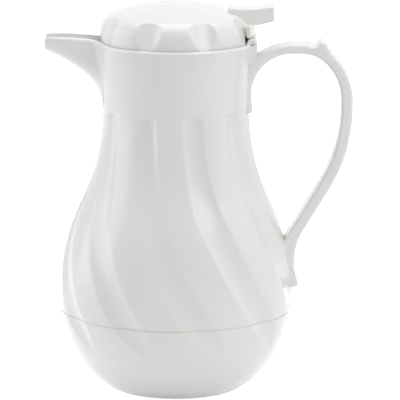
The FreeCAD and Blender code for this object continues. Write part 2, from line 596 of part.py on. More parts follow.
# Handle screws with washers under their heads, driven outward through the shell's rear wall
screw_edge = "(dim.screw_spread + dim.washer_radius)^2"
upper_face = (f"sqrt(({bore_at('calc.upper_screw_height - dim.washer_radius')})^2 - {screw_edge})"
              " - dim.washer_thickness - dim.screw_fit")
lower_wall = belly_at("calc.lower_screw_height + dim.washer_radius", "dim.shell_wall")
lower_face = f"sqrt(({lower_wall})^2 - {screw_edge}) - dim.washer_thickness - dim.screw_fit"
along = Vector(1, 0, 0)
screw_bars, washer_discs, washer_holes, screw_pockets, pilot_holes = [], [], [], [], []
for row, face, height in (("upper", upper_face, "calc.upper_screw_height"), ("lower", lower_face, "calc.lower_screw_height")):
    for place, sign in (("near", "-1"), ("far", "1")):
        mark = f"{row}_{place}"
        across = f"{sign} * dim.screw_spread"
        screw_bars.append(cylinder(f"screw_shank_{mark}", "dim.screw_radius", "dim.screw_length", face, across,
                                   height, along))
        screw_bars.append(cylinder(f"screw_head_{mark}", "dim.screw_head_radius", "dim.screw_head",
                                   f"{face} - dim.screw_head", across, height, along))
        washer_discs.append(cylinder(f"washer_disc_{mark}", "dim.washer_radius", "dim.washer_thickness", face, across,
                                     height, along))
        washer_holes.append(cylinder(f"washer_hole_{mark}", clear_radius, "dim.washer_thickness + 2", f"{face} - 1",
                                     across, height, along))
        screw_pockets.append(cylinder(f"foam_pocket_{mark}", "dim.washer_radius + dim.fit_gap", "40",
                                      f"{face} - dim.screw_head - dim.fit_gap", across, height, along))
        pilot_holes.append(cylinder(f"pilot_hole_{mark}", clear_radius, "dim.screw_length + dim.fit_gap", face, across,
                                    height, along))
handle_screws = fused("handle_screws", screw_bars)
screw_washers = cut("screw_washers", fused("washer_discs", washer_discs), washer_holes)
foam_jacket = cut("foam_jacket", foam_whole, screw_pockets)


# Handle: one side outline of even width, its edges rounded, seated on the collar and the belly

def soften(body, radius, wanted):
    """Round the edges of a padded body's two side faces where they are wanted."""
    doc.recompute()
    rough = body.Tip
    solid = rough.Shape
    reach = max(abs(solid.BoundBox.YMin), abs(solid.BoundBox.YMax))
    names = []
    for index, edge in enumerate(solid.Edges, 1):
        middle = edge.valueAt((edge.FirstParameter + edge.LastParameter) / 2)
        on_side = all(abs(abs(vertex.Y) - reach) < 1e-6 for vertex in edge.Vertexes)
        if on_side and abs(abs(middle.y) - reach) < 1e-6 and wanted(middle):
            names.append(f"Edge{index}")
    fillet = body.newObject("PartDesign::Fillet", body.Name + "_soft_edges")
    fillet.Base = (rough, names)
    fillet.setExpression("Radius", radius)
    body.Tip = fillet
    doc.recompute()


lean_out = "calc.handle_reach - (calc.knee_height - ({height})) * calc.handle_lean"
inner_knee = "calc.knee_height + dim.strap * (calc.lean_length - 1) / calc.handle_lean"
leaf_back = "calc.leaf_height - 12"
spur = "calc.handle_reach - dim.spur_back"
handle_body = padded("handle_body", [
    ("dim.neck_radius - dim.sink", "calc.root_height", None),
    ("calc.shoulder_reach", "calc.handle_top", "dim.shoulder_bend"),
    (f"{spur} - dim.spur_width", "calc.handle_top", "3 * dim.spur_bend"),
    (f"{spur} - 0.56 * dim.spur_width", "calc.handle_top - 0.6 * dim.spur_rise", "dim.spur_bend"),
    (spur, "calc.handle_top + dim.spur_rise", "dim.spur_tip"),
    (f"{spur} + 0.44 * dim.spur_width", "calc.handle_top - 1.75 * dim.spur_rise", "dim.spur_bend"),
    ("calc.handle_reach", "calc.outer_corner", "calc.outer_round"),
    ("calc.handle_reach", "calc.knee_height", "calc.knee_round"),
    (lean_out.format(height="calc.leaf_height"), "calc.leaf_height", "dim.leaf_bend"),
    (belly_at("calc.leaf_waist") + " + dim.leaf_wall", "calc.leaf_waist", "0.3 * dim.leaf_bend"),
    ("dim.belly_radius + dim.leaf_curl", "calc.leaf_foot", "dim.leaf_tip"),
    ("dim.belly_radius - 2 * dim.sink", "calc.leaf_foot - 0.8", None),
    (lean_out.format(height=leaf_back) + " - dim.strap * calc.lean_length", leaf_back, None),
    ("calc.handle_reach - dim.strap", inner_knee, "calc.knee_round - dim.strap"),
    ("calc.handle_reach - dim.strap", "calc.outer_corner - 0.3 * dim.strap", "calc.outer_round - dim.strap"),
    (f"{spur} - 0.37 * dim.spur_width", "calc.handle_top - dim.strap_top", "dim.gap_corner"),
    ("dim.neck_radius + dim.plate_wall", "calc.handle_top - dim.strap_top", "dim.gap_bend"),
    ("dim.neck_radius + dim.plate_wall", "calc.plate_foot + dim.plate_curl_rise", "dim.gap_corner"),
    ("dim.neck_radius + dim.plate_wall + dim.plate_curl", "calc.plate_foot", "dim.plate_tip"),
    ("dim.neck_radius - dim.sink", "calc.plate_foot - 0.4", None),
], "dim.handle_width")
soften(handle_body, "dim.handle_round", lambda spot: spot.x > outer_radius(spot.z) - 4)
seat_rim = ("dim.neck_radius + calc.collar_arc - sqrt((calc.collar_arc - dim.seat_gap)^2"
            " - (dim.rim_height - calc.neck_height)^2)")
handle_seat = revolved("handle_seat", [("0", "calc.seam_height")] + side_corners("-dim.seat_gap", "calc.seam_height")[:-1] + [
    ("dim.neck_radius + dim.seat_gap", "calc.neck_height", "calc.collar_arc - dim.seat_gap", -1),
    (seat_rim, "dim.rim_height"), ("0", "dim.rim_height")])
handle = cut("handle", handle_body, [handle_seat] + pilot_holes)

# Lid dome: a low crown, a round shoulder and an upright side with scallops round it
dome_skin = [
    ("calc.lid_radius", "calc.lid_skirt"), ("calc.lid_radius", "calc.lid_turn", "calc.lid_shoulder", 1),
    ("dim.lid_crown * calc.lid_share", "calc.crown_centre + dim.lid_crown * calc.lid_rise", "dim.lid_crown", 1),
    ("0", "calc.lid_top")]
inner_crown = "(dim.lid_crown - dim.lid_wall)"
dome_bore = [
    ("0", "calc.lid_top - dim.lid_wall", inner_crown, -1),
    (f"{inner_crown} * calc.lid_share", f"calc.crown_centre + {inner_crown} * calc.lid_rise",
     "calc.lid_shoulder - dim.lid_wall", -1),
    ("calc.lid_bore", "calc.lid_turn"), ("calc.lid_bore", "calc.lid_skirt")]
dome = revolved("dome", dome_skin + dome_bore)
scallop_reach = "(calc.lid_shoulder - dim.scallop_depth + dim.scallop_radius)"
shoulder_reach = "calc.lid_radius - calc.lid_shoulder"
scallop_side = dome.newObject("PartDesign::SubtractiveCylinder", "scallop_side")
bind(scallop_side, Radius="dim.scallop_radius", Height="calc.lid_turn - calc.lid_skirt + 1",
     Base_x=f"{shoulder_reach} + {scallop_reach}", Base_z="calc.lid_skirt - 1")
scallop_bend = dome.newObject("PartDesign::SubtractiveTorus", "scallop_bend")
scallop_bend.Placement = Placement(Vector(), Rotation(Vector(1, 0, 0), 90))
bind(scallop_bend, Radius1=scallop_reach, Radius2="dim.scallop_radius", Angle3="dim.scallop_turn * 1deg",
     Base_x=shoulder_reach, Base_z="calc.lid_turn")
scallop_end = dome.newObject("PartDesign::SubtractiveSphere", "scallop_end")
bind(scallop_end, Radius="dim.scallop_radius",
     Base_x=f"{shoulder_reach} + {scallop_reach} * cos(dim.scallop_turn * 1deg)",
     Base_z=f"calc.lid_turn + {scallop_reach} * sin(dim.scallop_turn * 1deg)")
doc.recompute()
ring = dome.newObject("PartDesign::PolarPattern", "scallop_ring")
ring.Originals = [scallop_side, scallop_bend, scallop_end]
ring.Axis = (origin_feature(dome, "Z_Axis"), [""])
ring.setExpression("Occurrences", "dim.scallop_count")
ring.Angle = 360.0
dome.Tip = ring
dome.setExpression("Placement.Rotation.Angle", "dim.scallop_phase * 1deg")
doc.recompute()
notch_top = "calc.hinge_height + dim.knuckle_radius + 2 * dim.tab_gap"
lid_notch = box("lid_notch", "40", "2 * (dim.lug_outer + 2 * dim.hinge_gap)", f"{notch_top} - calc.lid_skirt + 1",
                "calc.hinge_reach - dim.knuckle_radius - dim.lug_nose - dim.notch_gap",
                "-dim.lug_outer - 2 * dim.hinge_gap", "calc.lid_skirt - 1")
lever_screw_seat = (f"calc.crown_centre + sqrt({inner_crown}^2"
                    " - (calc.lever_screw_reach + 1.4 * dim.lever_screw_head_radius)^2)")
lever_screw_tip = ("calc.crown_centre + sqrt(dim.lid_crown^2 - calc.lever_screw_reach^2 - dim.lever_screw_spread^2)"
                   " + dim.lever_screw_bite")
lever_bars = []
lever_holes = []
for place, sign in (("near", "-1"), ("far", "1")):
    across = f"{sign} * dim.lever_screw_spread"
    spot = ("calc.lever_screw_reach", across)
    lever_bars.append(cylinder(f"lever_shank_{place}", "dim.lever_screw_radius",
                               f"{lever_screw_tip} - ({lever_screw_seat})", *spot, lever_screw_seat))
    lever_bars.append(cylinder(f"lever_head_{place}", "dim.lever_screw_head_radius", "dim.lever_screw_head", *spot,
                               f"{lever_screw_seat} - dim.lever_screw_head"))
    lever_holes.append(cylinder(f"lever_hole_{place}", "dim.lever_screw_radius + dim.screw_fit",
                                f"{lever_screw_tip} - ({lever_screw_seat}) + dim.screw_fit", *spot, lever_screw_seat))
lever_screws = fused("lever_screws", lever_bars)
lid_dome = cut("lid_dome", dome, [lid_notch] + lever_holes)

# Plug: the cup under the dome with a boss that hangs in the mouth, its gasket and its foam
lip_radius = "calc.lid_bore - dim.screw_fit"
lid_plug = revolved("lid_plug", [
    ("0", "calc.plug_foot"), ("calc.plug_radius", "calc.plug_foot"), ("calc.plug_radius", "calc.plug_flange"),
    ("calc.cup_radius", "calc.plug_flange"), ("calc.cup_radius", "calc.cup_top - dim.plug_lip"),
    (lip_radius, "calc.cup_top - dim.plug_lip"), (lip_radius, "calc.cup_top"),
    ("calc.cup_radius - dim.plug_wall", "calc.cup_top"),
    ("calc.cup_radius - dim.plug_wall", "calc.plug_flange + dim.plug_wall"),
    ("calc.plug_radius - dim.plug_wall", "calc.plug_flange + dim.plug_wall"),
    ("calc.plug_radius - dim.plug_wall", "calc.plug_foot + dim.plug_wall"), ("0", "calc.plug_foot + dim.plug_wall")])
gasket_bore = "calc.ledge_bore - dim.gasket_inside"
lid_gasket = revolved("lid_gasket", [
    (gasket_bore, "calc.gasket_foot"), (gasket_bore + " + dim.gasket_width", "calc.gasket_foot"),
    (gasket_bore + " + dim.gasket_width", "calc.plug_flange"), (gasket_bore, "calc.plug_flange")])
foam_wall = "dim.plug_wall - dim.fit_gap"
foam_crown = f"({inner_crown} - dim.fit_gap)"
lid_foam = revolved("lid_foam", [
    ("0", "calc.plug_foot + dim.plug_wall + dim.fit_gap"),
    (f"calc.plug_radius - {foam_wall} - 2 * dim.fit_gap", "calc.plug_foot + dim.plug_wall + dim.fit_gap"),
    (f"calc.plug_radius - {foam_wall} - 2 * dim.fit_gap", "calc.plug_flange + dim.plug_wall + dim.fit_gap"),
    (f"calc.cup_radius - {foam_wall} - 2 * dim.fit_gap", "calc.plug_flange + dim.plug_wall + dim.fit_gap"),
    (f"calc.cup_radius - {foam_wall} - 2 * dim.fit_gap", "calc.cup_top"),
    ("calc.lid_foam_core + 1", "calc.lid_foam_top"),
    ("calc.lid_foam_core", f"calc.crown_centre + sqrt({foam_crown}^2 - calc.lid_foam_core^2)", foam_crown, 1),
    ("0", f"calc.crown_centre + {foam_crown}")])

# Thumb lever: a dished slab on the rear of the dome, a curved tab down its back and a knuckle on the pin
slab = padded("slab", [
    ("calc.lever_front", "calc.lever_nose", "dim.lever_round + 0.4"),
    ("calc.lever_middle", "calc.lever_height - dim.lever_dish", "60"),
    ("calc.lever_end", "calc.lever_height", "dim.lever_round + 0.4"),
    ("calc.lever_end + 0.3", "calc.lever_under + dim.lever_lift", "dim.lever_round + 0.4"),
    ("calc.lid_radius + dim.lever_lift", "calc.lever_under", "14"),
    ("calc.lid_radius - 2 * dim.sink", "calc.lever_under", None),
    ("calc.lever_front", "calc.lever_under + dim.lever_lift", None),
], "dim.lever_width")
soften(slab, "dim.lever_round", lambda spot: spot.z > calc("lever_under") + 0.5 and spot.x > calc("lever_front") + 0.2)
tab_foot = "calc.hinge_height + dim.knuckle_radius + dim.tab_gap"
tab = revolved("tab", [
    ("calc.lid_radius - dim.sink", tab_foot), ("calc.lid_radius + dim.tab_wall", tab_foot),
    ("calc.lid_radius + dim.tab_wall", f"{tab_foot} + dim.tab_height"),
    ("calc.lid_radius - dim.sink", f"{tab_foot} + dim.tab_height")], size("tab_angle"))
tab.getObject("tab_turn").setExpression("Angle", "dim.tab_angle")
form_crown = "(dim.lid_crown + dim.seat_gap)"
dome_form = revolved("dome_form", [
    ("0", "calc.lid_skirt"), ("calc.lid_radius + dim.seat_gap", "calc.lid_skirt"),
    ("calc.lid_radius + dim.seat_gap", "calc.lid_turn", "calc.lid_shoulder + dim.seat_gap", 1),
    (f"{form_crown} * calc.lid_share", f"calc.crown_centre + {form_crown} * calc.lid_rise", form_crown, 1),
    ("0", f"calc.crown_centre + {form_crown}")])
arm = box("arm", "calc.lid_radius + dim.tab_wall - calc.cup_radius - 1", "2 * calc.hinge_slot",
          f"{tab_foot} - calc.hinge_height + 0.2", "calc.cup_radius + 1", "-calc.hinge_slot", "calc.hinge_height")
knuckle = cylinder("knuckle", "dim.knuckle_radius", "2 * calc.hinge_slot", "calc.hinge_reach", "-calc.hinge_slot",
                   "calc.hinge_height", Vector(0, 1, 0))
knuckle_bore = cylinder("knuckle_bore", "dim.pin_radius + dim.pin_play", "2 * dim.lug_outer", "calc.hinge_reach",
                        "-dim.lug_outer", "calc.hinge_height", Vector(0, 1, 0))
lever_top = cut("lever_top", fused("slab_and_tab", [slab, tab]), [dome_form])
lever_whole = fused("lever_whole", [lever_top, arm, knuckle])
thumb_lever = cut("thumb_lever", lever_whole, [knuckle_bore] + lever_holes)
hinge_pin = cylinder("hinge_pin", "dim.pin_radius", "2 * (dim.lug_outer - dim.pin_recess)", "calc.hinge_reach",
                     "-dim.lug_outer + dim.pin_recess", "calc.hinge_height", Vector(0, 1, 0))

NODES = [upper_shell, base_shell, fill_plug, liner, liner_seal, liner_pad, foam_jacket, handle, handle_screws,
         screw_washers, hinge_pin, lid_dome, lid_plug, lid_gasket, lid_foam, thumb_lever, lever_screws]

doc.recompute()
failed = [item.Name for item in doc.Objects if "Invalid" in item.State or "Error" in item.State]
if failed:
    raise RuntimeError("failed: " + ", ".join(failed))
for node in NODES:
    if node.Shape.isNull() or not node.Shape.isValid():
        raise RuntimeError("bad shape: " + node.Label)
os.makedirs("parts", exist_ok=True)
for node in NODES:
    node.Shape.exportStep(f"parts/{node.Label}.step")
    print(f"{node.Label:16s} solids {len(node.Shape.Solids)}  volume {node.Shape.Volume / 1000:9.2f} cm3")
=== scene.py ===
import json
import math
from types import SimpleNamespace

import bpy
from mathutils import Matrix, Vector


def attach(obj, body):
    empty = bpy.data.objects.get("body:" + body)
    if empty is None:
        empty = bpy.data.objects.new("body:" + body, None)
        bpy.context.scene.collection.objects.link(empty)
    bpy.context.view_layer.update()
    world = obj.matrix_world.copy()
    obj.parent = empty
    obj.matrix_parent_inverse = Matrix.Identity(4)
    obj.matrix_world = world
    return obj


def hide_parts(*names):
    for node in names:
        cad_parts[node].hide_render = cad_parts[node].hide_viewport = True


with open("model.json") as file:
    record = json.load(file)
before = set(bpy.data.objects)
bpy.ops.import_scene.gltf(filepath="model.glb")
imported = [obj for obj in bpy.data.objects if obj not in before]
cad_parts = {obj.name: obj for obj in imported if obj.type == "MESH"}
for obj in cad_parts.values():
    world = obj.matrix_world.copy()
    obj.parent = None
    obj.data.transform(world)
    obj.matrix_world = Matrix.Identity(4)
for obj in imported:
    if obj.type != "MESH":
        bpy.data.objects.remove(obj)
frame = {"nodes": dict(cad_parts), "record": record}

bl_info = {
    "name": "Swirl Fluted Serving Jug",
    "version": (1, 0, 0),
    "blender": (4, 5, 0),
    "location": "View3D > Sidebar > Jug",
    "description": "Builds the looks of an insulated serving jug round its packed frame",
    "category": "Object",
}

MM = 0.001


def colour(hex_code):
    """Linear colour of an sRGB hex code."""
    parts = [int(hex_code[place:place + 2], 16) / 255 for place in (0, 2, 4)]
    linear = [part / 12.92 if part <= 0.04045 else ((part + 0.055) / 1.055) ** 2.4 for part in parts]
    return (*linear, 1.0)


# Settings

def distance(name, millimetres, text):
    """A length setting whose default is given in millimetres."""
    return bpy.props.FloatProperty(name=name, description=text, default=millimetres * MM, min=0.0,
                                   precision=4, subtype="DISTANCE", unit="LENGTH")


def turn(name, degrees, text):
    """An angle setting whose default is given in degrees."""
    return bpy.props.FloatProperty(name=name, description=text, default=math.radians(degrees),
                                   subtype="ANGLE", unit="ROTATION")


def tint(name, hex_code, text):
    """A colour setting whose default is an sRGB hex code."""
    return bpy.props.FloatVectorProperty(name=name, description=text, default=colour(hex_code), size=4,
                                         min=0.0, max=1.0, subtype="COLOR")


def share(name, default, text):
    """A setting between nothing and all."""
    return bpy.props.FloatProperty(name=name, description=text, default=default, min=0.0, max=1.0,
                                   subtype="FACTOR")


def watts(name, default, text):
    """The power of a lamp."""
    return bpy.props.FloatProperty(name=name, description=text, default=default, min=0.0,
                                   subtype="POWER", unit="POWER")


def tally(name, default, text):
    """How many there are of a feature that goes round the axis."""
    return bpy.props.IntProperty(name=name, description=text, default=default, min=3)


class JugBodySettings(bpy.types.PropertyGroup):
    """Form of the body: three arcs up the side, a flared collar and the swirl of flutes."""
    rim_height: distance("Rim Height", 242.0, "Height of the collar's rim")
    rim_radius: distance("Rim Radius", 55.0, "Radius of the collar at its rim")
    rim_wall: distance("Rim Wall", 2.0, "Thickness of the collar at its rim")
    rim_round: distance("Rim Round", 2.8, "Rounding of the rim's outer edge")
    neck_height: distance("Neck Height", 195.0, "Height of the narrowest place")
    neck_radius: distance("Neck Radius", 50.2, "Radius of the narrowest place")
    neck_arc: distance("Neck Arc", 148.0, "Radius of the hollow arc under the neck")
    belly_height: distance("Belly Height", 63.0, "Height of the widest place")
    belly_radius: distance("Belly Radius", 80.4, "Radius of the widest place")
    foot_radius: distance("Foot Radius", 45.1, "Outer radius of the foot")
    foot_ring: distance("Foot Ring", 7.0, "Width of the ring that stands on the table")
    foot_recess: distance("Foot Recess", 1.5, "Depth of the recess inside the foot ring")
    seam_height: distance("Seam Height", 55.5, "Height of the seam between the shells")
    seam_bevel: distance("Seam Bevel", 0.7, "Bevel on each side of the seam")
    wall: distance("Wall", 3.2, "Thickness of the shells")
    floor: distance("Floor", 4.7, "Height of the base shell's inner floor")
    ledge_height: distance("Ledge Height", 233.6, "Underside of the ledge that carries the liner")
    ledge_top: distance("Ledge Top", 236.0, "Top of the ledge that carries the liner")
    ledge_bore: distance("Ledge Bore", 42.0, "Radius of the hole in the ledge")
    flute_count: tally("Flutes", 10, "Flutes round the body")
    flute_depth: distance("Flute Depth", 2.3, "Depth of a flute")
    flute_round: distance("Flute Radius", 20.0, "Radius of a flute's hollow half way up")
    flute_top: distance("Flute Top", 197.0, "Height of the flutes' arched tops")
    flute_arch: distance("Flute Arch", 3.5, "Height over which a flute's top runs in")
    flute_swirl: turn("Flute Swirl", 34.64, "Turn of a flute from its top down to the seam")
    flute_phase: turn("Flute Phase", -76.7, "Bearing of the first flute's top")
    fade_low: distance("Fade Low", 30.0, "Height at which the flutes have run out")


class JugSpoutSettings(bpy.types.PropertyGroup):
    """Open trough that leaves the collar and runs out to a square end."""
    reach: distance("Reach", 89.5, "Distance of the spout's end from the axis")
    root: distance("Root", 195.0, "Height at which the keel leaves the neck")
    keel: distance("Keel", 233.4, "Height of the keel at the spout's end, before the lips' rise")
    sweep: share("Sweep", 0.35, "Part of the keel's curve that flattens towards the end")
    half_width: distance("Half Width", 11.0, "Half the width of the trough")
    hollow: distance("Hollow", 15.0, "Height over the keel at which the trough's sides stand upright")
    wall: distance("Wall", 2.4, "Thickness of the trough")
    lip_rise: distance("Lip Rise", 3.6, "Rise of the lips over the rim")
    lip_start: distance("Lip Start", 48.0, "Distance from the axis at which the lips begin to rise")
    lip_run: distance("Lip Run", 11.0, "Length over which most of the lips' rise is made")
    fillet: distance("Fillet", 10.0, "Radius of the hollow between the trough's sides and the collar")


class JugLidSettings(bpy.types.PropertyGroup):
    """Domed lid with scallops round its side, and its hinge."""
    top: distance("Top", 268.3, "Height of the crown")
    radius: distance("Radius", 51.7, "Radius of the upright side")
    wall: distance("Wall", 2.4, "Thickness of the dome")
    turn: distance("Turn", 247.6, "Height at which the side turns into the shoulder")
    crown: distance("Crown", 116.0, "Radius of the crown's arc")
    skirt: distance("Skirt", 239.8, "Height of the skirt's lower edge")
    scallop_count: tally("Scallops", 8, "Scallops round the side")
    scallop_top: distance("Scallop Top", 260.0, "Height of the scallops' arched tops")
    scallop_reach: distance("Scallop Reach", 43.3, "Distance of a scallop's top from the axis")
    scallop_slope: share("Scallop Slope", 0.45,
                         "Outward run of a scallop's floor for each unit it comes down")
    scallop_width: distance("Scallop Width", 18.0,
                            "Half width at which a scallop's side would rise as far again")
    scallop_ease: distance("Scallop Ease", 0.9, "Softness of a scallop's edges")
    scallop_phase: turn("Scallop Phase", 22.5, "Bearing of the first scallop")
    hinge_reach: distance("Hinge Reach", 52.0, "Distance of the hinge pin from the axis")
    hinge_height: distance("Hinge Height", 242.6, "Height of the hinge pin")
    hinge_gap: distance("Hinge Gap", 0.5, "Play between the lugs and the lever's knuckle")
    knuckle: distance("Knuckle", 3.3, "Radius of the hinge knuckle and the lugs' tops")
    pin: distance("Pin", 1.62, "Radius of the bore for the hinge pin")
    notch_start: distance("Notch Start", 47.2, "Inner end of the notch in the dome")
    lug_inner: distance("Lug Inner", 14.0, "Inner face of each lug, from the mid plane")
    lug_outer: distance("Lug Outer", 20.0, "Outer face of each lug, from the mid plane")
    lug_nose: distance("Lug Nose", 0.9, "Reach of each lug inside its round top")
    lug_foot: distance("Lug Foot", 228.4, "Height of the lugs' lower end")


class JugHandleSettings(bpy.types.PropertyGroup):
    """Strap handle and thumb lever: their widths and rounded edges."""
    width: distance("Width", 20.0, "Width of the strap")
    edge: distance("Edge", 2.2, "Rounding of the strap's edges")
    lever_width: distance("Lever Width", 18.0, "Width of the thumb lever")
    lever_edge: distance("Lever Edge", 1.2, "Rounding of the lever's edges")
    tab_wall: distance("Tab Wall", 2.2, "Thickness of the tab behind the dome")
    tab_height: distance("Tab Height", 8.0, "Height of the tab behind the dome")
    tab_angle: turn("Tab Angle", 42.0, "Turn of the tab round the dome")
    tab_gap: distance("Tab Gap", 0.4, "Gap between the tab and the lugs")
    arm_start: distance("Arm Start", 49.3, "Inner face of the arm that carries the knuckle")


class JugFinishSettings(bpy.types.PropertyGroup):
    """Colours of the materials."""
    shell: tint("Shell", "EEEDEB", "White plastic of the shells, the lid, the lever and the handle")
    shell_rough: share("Shell Roughness", 0.22, "Roughness of the white plastic")
    liner: tint("Liner", "E4E4E0", "Plastic of the vessel and the plug")
    seal: tint("Seals", "C9C9C4", "Silicone of the seals and the pad")
    foam: tint("Foam", "E9DDB0", "Rigid foam between the walls")
    steel: tint("Steel", "B9B9BB", "Steel of the screws, the washers and the pin")


class JugStageSettings(bpy.types.PropertyGroup):
    """Light round the jug, and the view of it."""
    floor: tint("Floor", "FAFAFA", "White paper that the jug stands on")
    sky: share("Sky", 0.28, "Even light from all round")
    key_lamp: watts("Key Lamp", 3.3, "Power of the softbox over the right shoulder")
    left_lamp: watts("Left Lamp", 3.9, "Power of the softbox on the left")
    right_lamp: watts("Right Lamp", 1.45, "Power of the softbox on the right")
    top_lamp: watts("Top Lamp", 7.7, "Power of the softbox overhead")
    low_lamp: watts("Low Lamp", 0.4, "Power of the low reflector in front")
    camera_tilt: turn("Camera Tilt", 11.4, "Angle at which the camera looks down")
    camera_away: distance("Camera Distance", 2600.0, "Distance of the camera from the jug's axis")
    camera_aim: distance("Camera Aim", 135.0, "Height that the camera looks at")


def measures(settings):
    """The values of a group of settings, with its lengths in millimetres."""
    values = SimpleNamespace()
    for name, kind in settings.bl_rna.properties.items():
        value = getattr(settings, name)
        setattr(values, name, value / MM if kind.subtype == "DISTANCE" else value)
    return values


# Mesh helpers

def mesh_object(name, vertices, faces):
    """A mesh object at the origin from points in millimetres."""
    mesh = bpy.data.meshes.new(name)
    mesh.from_pydata([Vector(point) * MM for point in vertices], [], faces)
    mesh.update()
    made = bpy.data.objects.new(name, mesh)
    bpy.context.scene.collection.objects.link(made)
    return made


def spread(low, high, count):
    """Values in even steps between two limits."""
    return [low + (high - low) * step / count for step in range(count + 1)]


def arc_point(centre, radius, angle):
    """The point of an arc at an angle from level."""
    return (centre[0] + radius * math.cos(angle), centre[1] + radius * math.sin(angle))


def lofted(name, rings):
    """A skin through rings of equal count, capped at both ends."""
    count = len(rings[0])
    vertices = [point for ring in rings for point in ring]
    faces = []
    for low in range(0, len(vertices) - count, count):
        high = low + count
        for step in range(count):
            after = (step + 1) % count
            faces.append((low + step, low + after, high + after, high + step))
    faces.append(tuple(range(count - 1, -1, -1)))
    faces.append(tuple(range(len(vertices) - count, len(vertices))))
    return mesh_object(name, vertices, faces)


def turned(name, profile, segments):
    """A solid from a profile of (radius, height) points that leaves the axis and returns to it higher up.

    Its points are numbered row by row, without the profile's two ends, which come last as the poles. The
    rows go clockwise, so that the faces point outwards.
    """
    side = profile[1:-1]
    count = len(side)
    low_pole = segments * count
    high_pole = low_pole + 1
    vertices = []
    faces = []
    for row in range(segments):
        angle = -2 * math.pi * row / segments
        vertices += [(reach * math.cos(angle), reach * math.sin(angle), height)
                     for reach, height in side]
        here, there = row * count, (row + 1) % segments * count
        faces.append((low_pole, here, there))
        for step in range(count - 1):
            faces.append((here + step, here + step + 1, there + step + 1, there + step))
        faces.append((here + count - 1, high_pole, there + count - 1))
    vertices += [(0.0, 0.0, profile[0][1]), (0.0, 0.0, profile[-1][1])]
    return mesh_object(name, vertices, faces)


def block(name, low, high):
    """A box between two corners."""
    corners = [(x, y, z) for z in (low[2], high[2]) for x, y in (
        (low[0], low[1]), (high[0], low[1]), (high[0], high[1]), (low[0], high[1]))]
    faces = [(3, 2, 1, 0), (4, 5, 6, 7), (0, 1, 5, 4), (1, 2, 6, 5), (2, 3, 7, 6), (3, 0, 4, 7)]
    return mesh_object(name, corners, faces)


def bar_across(name, radius, low, high, centre, segments=64):
    """A round bar along Y round a centre (x, z)."""
    turns = [2 * math.pi * step / segments for step in range(segments)]
    rings = []
    for place in (low, high):
        rings.append([(centre[0] + radius * math.sin(turn), place, centre[1] + radius * math.cos(turn))
                      for turn in turns])
    return lofted(name, rings)


def settle(item):
    """Turn an object's modifiers into its mesh."""
    graph = bpy.context.evaluated_depsgraph_get()
    mesh = bpy.data.meshes.new_from_object(item.evaluated_get(graph), depsgraph=graph)
    if not mesh.polygons:
        raise RuntimeError(f"{item.name} came out empty")
    old = item.data
    item.modifiers.clear()
    item.data = mesh
    mesh.name = item.name
    bpy.data.meshes.remove(old)
    return item


def combine(item, operation, *tools):
    """Join other solids to an object, or take them away, one after another; they are used up."""
    for tool in tools:
        step = item.modifiers.new("combine", "BOOLEAN")
        step.operation = operation
        step.solver = "EXACT"
        step.object = tool
        settle(item)
        bpy.data.objects.remove(tool)
    return item


def bevelled(item, width, segments=3, angle=40.0):
    """Round an object's sharp edges."""
    step = item.modifiers.new("edges", "BEVEL")
    step.width = width * MM
    step.segments = segments
    step.limit_method = "ANGLE"
    step.angle_limit = math.radians(angle)
    return settle(item)


def smooth(item, angle=35.0):
    """Shade smooth, with edges sharper than the angle kept crisp."""
    item.data.shade_smooth()
    item.data.set_sharp_from_angle(angle=math.radians(angle))
    return item


def dressed(item, material, body, slot, *nodes):
    """Give a finished piece its finish, its body and the nodes that it stands for."""
    item.data.materials.clear()
    item.data.materials.append(material)
    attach(item, body)
    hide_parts(*nodes)
    return item


def rounded_path(corners, step=4.0):
    """Points and outward normals round a closed outline of corners (x, z, radius), which run clockwise."""
    path = []
    count = len(corners)
    for index, (x, z, radius) in enumerate(corners):
        here = Vector((x, z))
        before = (Vector(corners[index - 1][:2]) - here).normalized()
        after = (Vector(corners[(index + 1) % count][:2]) - here).normalized()
        normal_in = Vector((before.y, -before.x))
        normal_out = Vector((-after.y, after.x))
        if radius is None:
            path.append((here, (normal_in + normal_out).normalized()))
            continue
        half = (math.pi - before.angle(after)) / 2
        run = radius * math.tan(half)
        bend = 1.0 if normal_in.cross(normal_out) < 0 else -1.0
        centre = here + before * run - normal_in * radius * bend
        total = normal_in.angle_signed(normal_out)
        pieces = max(2, int(math.degrees(abs(total)) / step) + 1)
        for piece in range(pieces + 1):
            normal = normal_in.copy()
            normal.rotate(Matrix.Rotation(-total * piece / pieces, 2))
            path.append((centre + normal * radius * bend, normal))
    return path


def strap(name, corners, width, edge, rows=6):
    """A piece of even width across the jug's mid plane with round edges, from its side outline."""
    path = rounded_path(corners)
    rings = []
    for side in (-1, 1):
        for row in range(rows + 1):
            turn = math.pi / 2 * (row if side < 0 else rows - row) / rows
            inset = edge * (1 - math.sin(turn))
            across = side * (width / 2 - edge * (1 - math.cos(turn)))
            rings.append([(spot.x - normal.x * inset, across, spot.y - normal.y * inset)
                          for spot, normal in path])
    return lofted(name, rings)


# Node helpers

MATH = "ShaderNodeMath"
VECTOR = "ShaderNodeVectorMath"


def add_node(tree, kind, *values, **settings):
    """Add a node, set its properties, and link or set its inputs in order; None leaves an input alone."""
    node = tree.nodes.new(kind)
    for name, content in settings.items():
        setattr(node, name, content)
    for socket, content in zip(node.inputs, values):
        if isinstance(content, bpy.types.NodeSocket):
            tree.links.new(content, socket)
        elif content is not None:
            socket.default_value = content
    return node


def add_steps(tree, known, steps):
    """Add a chain of nodes; a step holds its result's name, the kind of node, its operation and inputs."""
    for result, kind, operation, *inputs in steps:
        values = [known[value] if isinstance(value, str) else value for value in inputs]
        known[result] = add_node(tree, kind, *values, operation=operation).outputs[0]


# Hollows that go round the axis
# In the steps, words with a capital are the group's inputs and the others are earlier results. Both groups
# end in press, the part of its reach by which a point moves out from the axis, below nought in a hollow.

